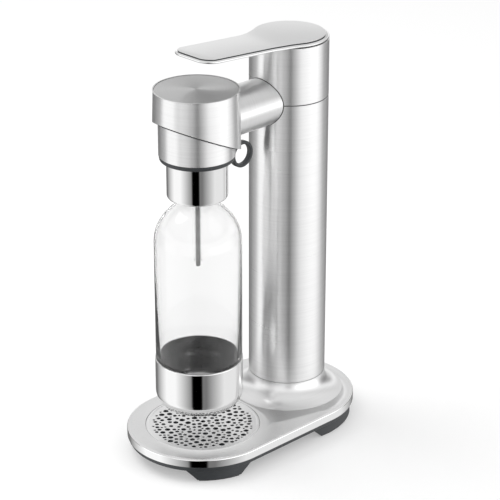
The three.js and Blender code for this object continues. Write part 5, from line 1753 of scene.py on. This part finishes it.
@dataclass
class Studio:
    """Pale floor, plain soft light with tall soft boxes round the object, and the camera.

    The sky's stops are (elevation in degrees, tone), and each of the edges is the span of the ray's
    height over which the low boxes give way to the high ones, and these to the sky. Camera and floor
    are in metres.
    """

    camera_place: tuple[float, float, float] = (1.41384, -1.35775, 1.07349)
    camera_turn: tuple[float, float, float] = (66.0884, 0.0, 45.9107)
    lens: float = 152.178
    sensor: float = 36.0
    clip: tuple[float, float] = (0.05, 100.0)
    peak: float = 3.0
    plain_tone: float = 0.2
    low_boxes: tuple[Softbox, ...] = (Softbox(-80, 30, 50, 0.9), Softbox(90, 40, 50, 0.7),
                                      Softbox(-5, 24, 4, -0.2))
    high_boxes: tuple[Softbox, ...] = (Softbox(-75, 30, 15, 1.3), Softbox(-25, 30, 15, 1.0),
                                       Softbox(60, 50, 30, 1.9), Softbox(180, 10, 20, 0.9))
    sky: Stops = (
        (0, 1.0), (10, 1.15), (14, 1.1), (18.5, 0.62), (24, 0.62), (31, 0.8), (50, 0.85), (90, 0.7))
    edges: Stops = ((-0.34, -0.28), (-0.04, 0.08))
    ambient: float = 0.84
    floor_size: float = 12.0
    floor_tone: float = 0.8
    floor_shown: float = 0.99
    floor_lift: float = 0.35
    lamps: tuple[Lamp, ...] = (Lamp("key", (-0.9, -0.5, 1.7), 1.3, 14.0),
                               Lamp("fill", (1.2, 0.6, 1.4), 1.2, 3.0))

    def bands(self, graph: Graph, share: Socket, stops: list[tuple[float, float]]) -> Socket:
        """Colour ramp whose tones are scaled down by the peak tone.

        Args:
            graph: the world's nodes.
            share: place on the ramp, from 0 to 1.
            stops: places and tones.

        Returns:
            The ramp's colour.
        """
        ramp = graph.add("ShaderNodeValToRGB", {0: share})
        marks = ramp.color_ramp.elements
        while len(marks) < len(stops):
            marks.new(0.5)
        for mark, (place, tone) in zip(marks, stops):
            mark.position = place
            mark.color = (tone / self.peak,) * 3 + (1.0,)
        return ramp.outputs[0]

    def round_stops(self, boxes: tuple[Softbox, ...]) -> list[tuple[float, float]]:
        """Tone round the object: the plain tone plus the light of every box.

        Args:
            boxes: the boxes that stand at one height.

        Returns:
            Places on the ramp and tones, one at each corner of a box.
        """
        corners = np.concatenate([box.corners() for box in boxes])
        azimuth = np.unique(np.append(corners, [-180.0, 180.0]))
        tones = np.maximum(0.0, self.plain_tone + sum(box.light(azimuth) for box in boxes))
        return list(zip(((azimuth + 180.0) / 360.0).tolist(), tones.tolist()))

    def mirrored_colour(self, graph: Graph) -> Socket:
        """What a shiny surface mirrors, by the direction (x, y, z) of its ray.

        The azimuth is atan2(y, x), measured from the front right. The high boxes stand over the low
        ones by the height z, and the sky above them changes with z alone.

        Args:
            graph: the world's nodes.

        Returns:
            The colour, scaled down by the peak tone.
        """
        ray = graph.add("ShaderNodeTexCoord").outputs["Generated"]
        turn = (0.0, 0.0, math.radians(90.0 - self.camera_turn[2]))
        turned_ray = graph.add("ShaderNodeMapping", {"Vector": ray, "Rotation": turn}, vector_type="POINT")
        x, y, z = graph.add("ShaderNodeSeparateXYZ", {"Vector": turned_ray.outputs[0]}).outputs
        azimuth = graph.math("ARCTAN2", y, x)
        spread = {"Value": azimuth, "From Min": -HALF_TURN, "From Max": HALF_TURN}
        share = graph.add("ShaderNodeMapRange", spread).outputs[0]
        sets = (self.low_boxes, self.high_boxes)
        layers = [self.bands(graph, share, self.round_stops(boxes)) for boxes in sets]
        heights = [(math.sin(math.radians(angle)), tone) for angle, tone in self.sky]
        layers.append(self.bands(graph, z, heights))
        colour = layers[0]
        for layer, (low, high) in zip(layers[1:], self.edges):
            colour = graph.blend(graph.ease(z, low, high), colour, layer)
        return colour

    def world(self) -> None:
        """White to the camera, even light to plain surfaces, and the boxes to shiny ones.

        What a shiny surface mirrors through clear plastic stays the same.
        """
        world = bpy.data.worlds.new("studio")
        world.cycles.sampling_method = "NONE"
        bpy.context.scene.world = world
        graph = Graph(world)
        colour = self.mirrored_colour(graph)
        lights = []
        for tone, strength in ((colour, self.peak), ((1, 1, 1, 1), self.ambient), ((1, 1, 1, 1), 1.0)):
            links = {"Color": tone, "Strength": strength}
            lights.append(graph.add("ShaderNodeBackground", links).outputs[0])
        boxes, even, white = lights
        path = graph.add("ShaderNodeLightPath").outputs
        mirrored = graph.math("GREATER_THAN", path["Glossy Depth"], 0.5)
        glossy = graph.math("MAXIMUM", path["Is Glossy Ray"], mirrored)
        unseen = graph.add("ShaderNodeMixShader", {0: glossy, 1: even, 2: boxes}).outputs[0]
        through = graph.math("SUBTRACT", path["Is Transmission Ray"], mirrored)
        seen = graph.math("MAXIMUM", path["Is Camera Ray"], through)
        final = graph.add("ShaderNodeMixShader", {0: seen, 1: unseen, 2: white}).outputs[0]
        graph.add("ShaderNodeOutputWorld", {"Surface": final})

    def floor(self) -> None:
        """Large pale floor that stays white to the camera and keeps the object's shadow."""
        size = self.floor_size / MM
        corners = np.array([[-size, -size, 0], [size, -size, 0], [-size, size, 0], [size, size, 0]])
        mesh = smooth_mesh("floor", [Sheet(corners, np.array([[0, 1, 3, 2]]))], 30.0)
        ground = placed("floor", mesh)
        graph = dressing("pale_floor")
        path = graph.add("ShaderNodeLightPath").outputs
        seen = graph.math("MAXIMUM", path["Is Camera Ray"], path["Is Transmission Ray"])
        tone = graph.tint(seen, (self.floor_tone,) * 3, (self.floor_shown,) * 3)
        matte = graph.add("ShaderNodeBsdfDiffuse", {"Color": tone}).outputs[0]
        white = graph.add("ShaderNodeEmission", {"Color": (1, 1, 1, 1), "Strength": 1.0}).outputs[0]
        share = graph.math("MULTIPLY", seen, self.floor_lift)
        lifted_tone = graph.add("ShaderNodeMixShader", {0: share, 1: matte, 2: white}).outputs[0]
        mesh.materials.append(graph.finish(lifted_tone))
        ground.visible_glossy = False

    def camera(self) -> None:
        """The camera that took the photograph."""
        data = bpy.data.cameras.new("camera")
        data.sensor_width, data.lens = self.sensor, self.lens
        data.clip_start, data.clip_end = self.clip
        eye = placed("camera", data)
        eye.location = self.camera_place
        eye.rotation_euler = tuple(math.radians(angle) for angle in self.camera_turn)
        bpy.context.scene.camera = eye

    def build(self) -> None:
        """Build the studio."""
        bpy.context.scene.view_settings.view_transform = "Standard"
        self.world()
        self.floor()
        for lamp in self.lamps:
            lamp.build()
        self.camera()


def main() -> None:
    """Build the studio and every piece, in order."""
    logging.basicConfig(level=logging.INFO, format="%(message)s")
    head = Head()
    Studio().build()
    Base().build()
    Hatch().build()
    Tray().build()
    Column().build()
    head.build()
    Lever().build()
    Cap().build(head)
    Bottle().build()
    Carried().dress()
    bpy.context.view_layer.update()


if __name__ == "__main__":
    main()
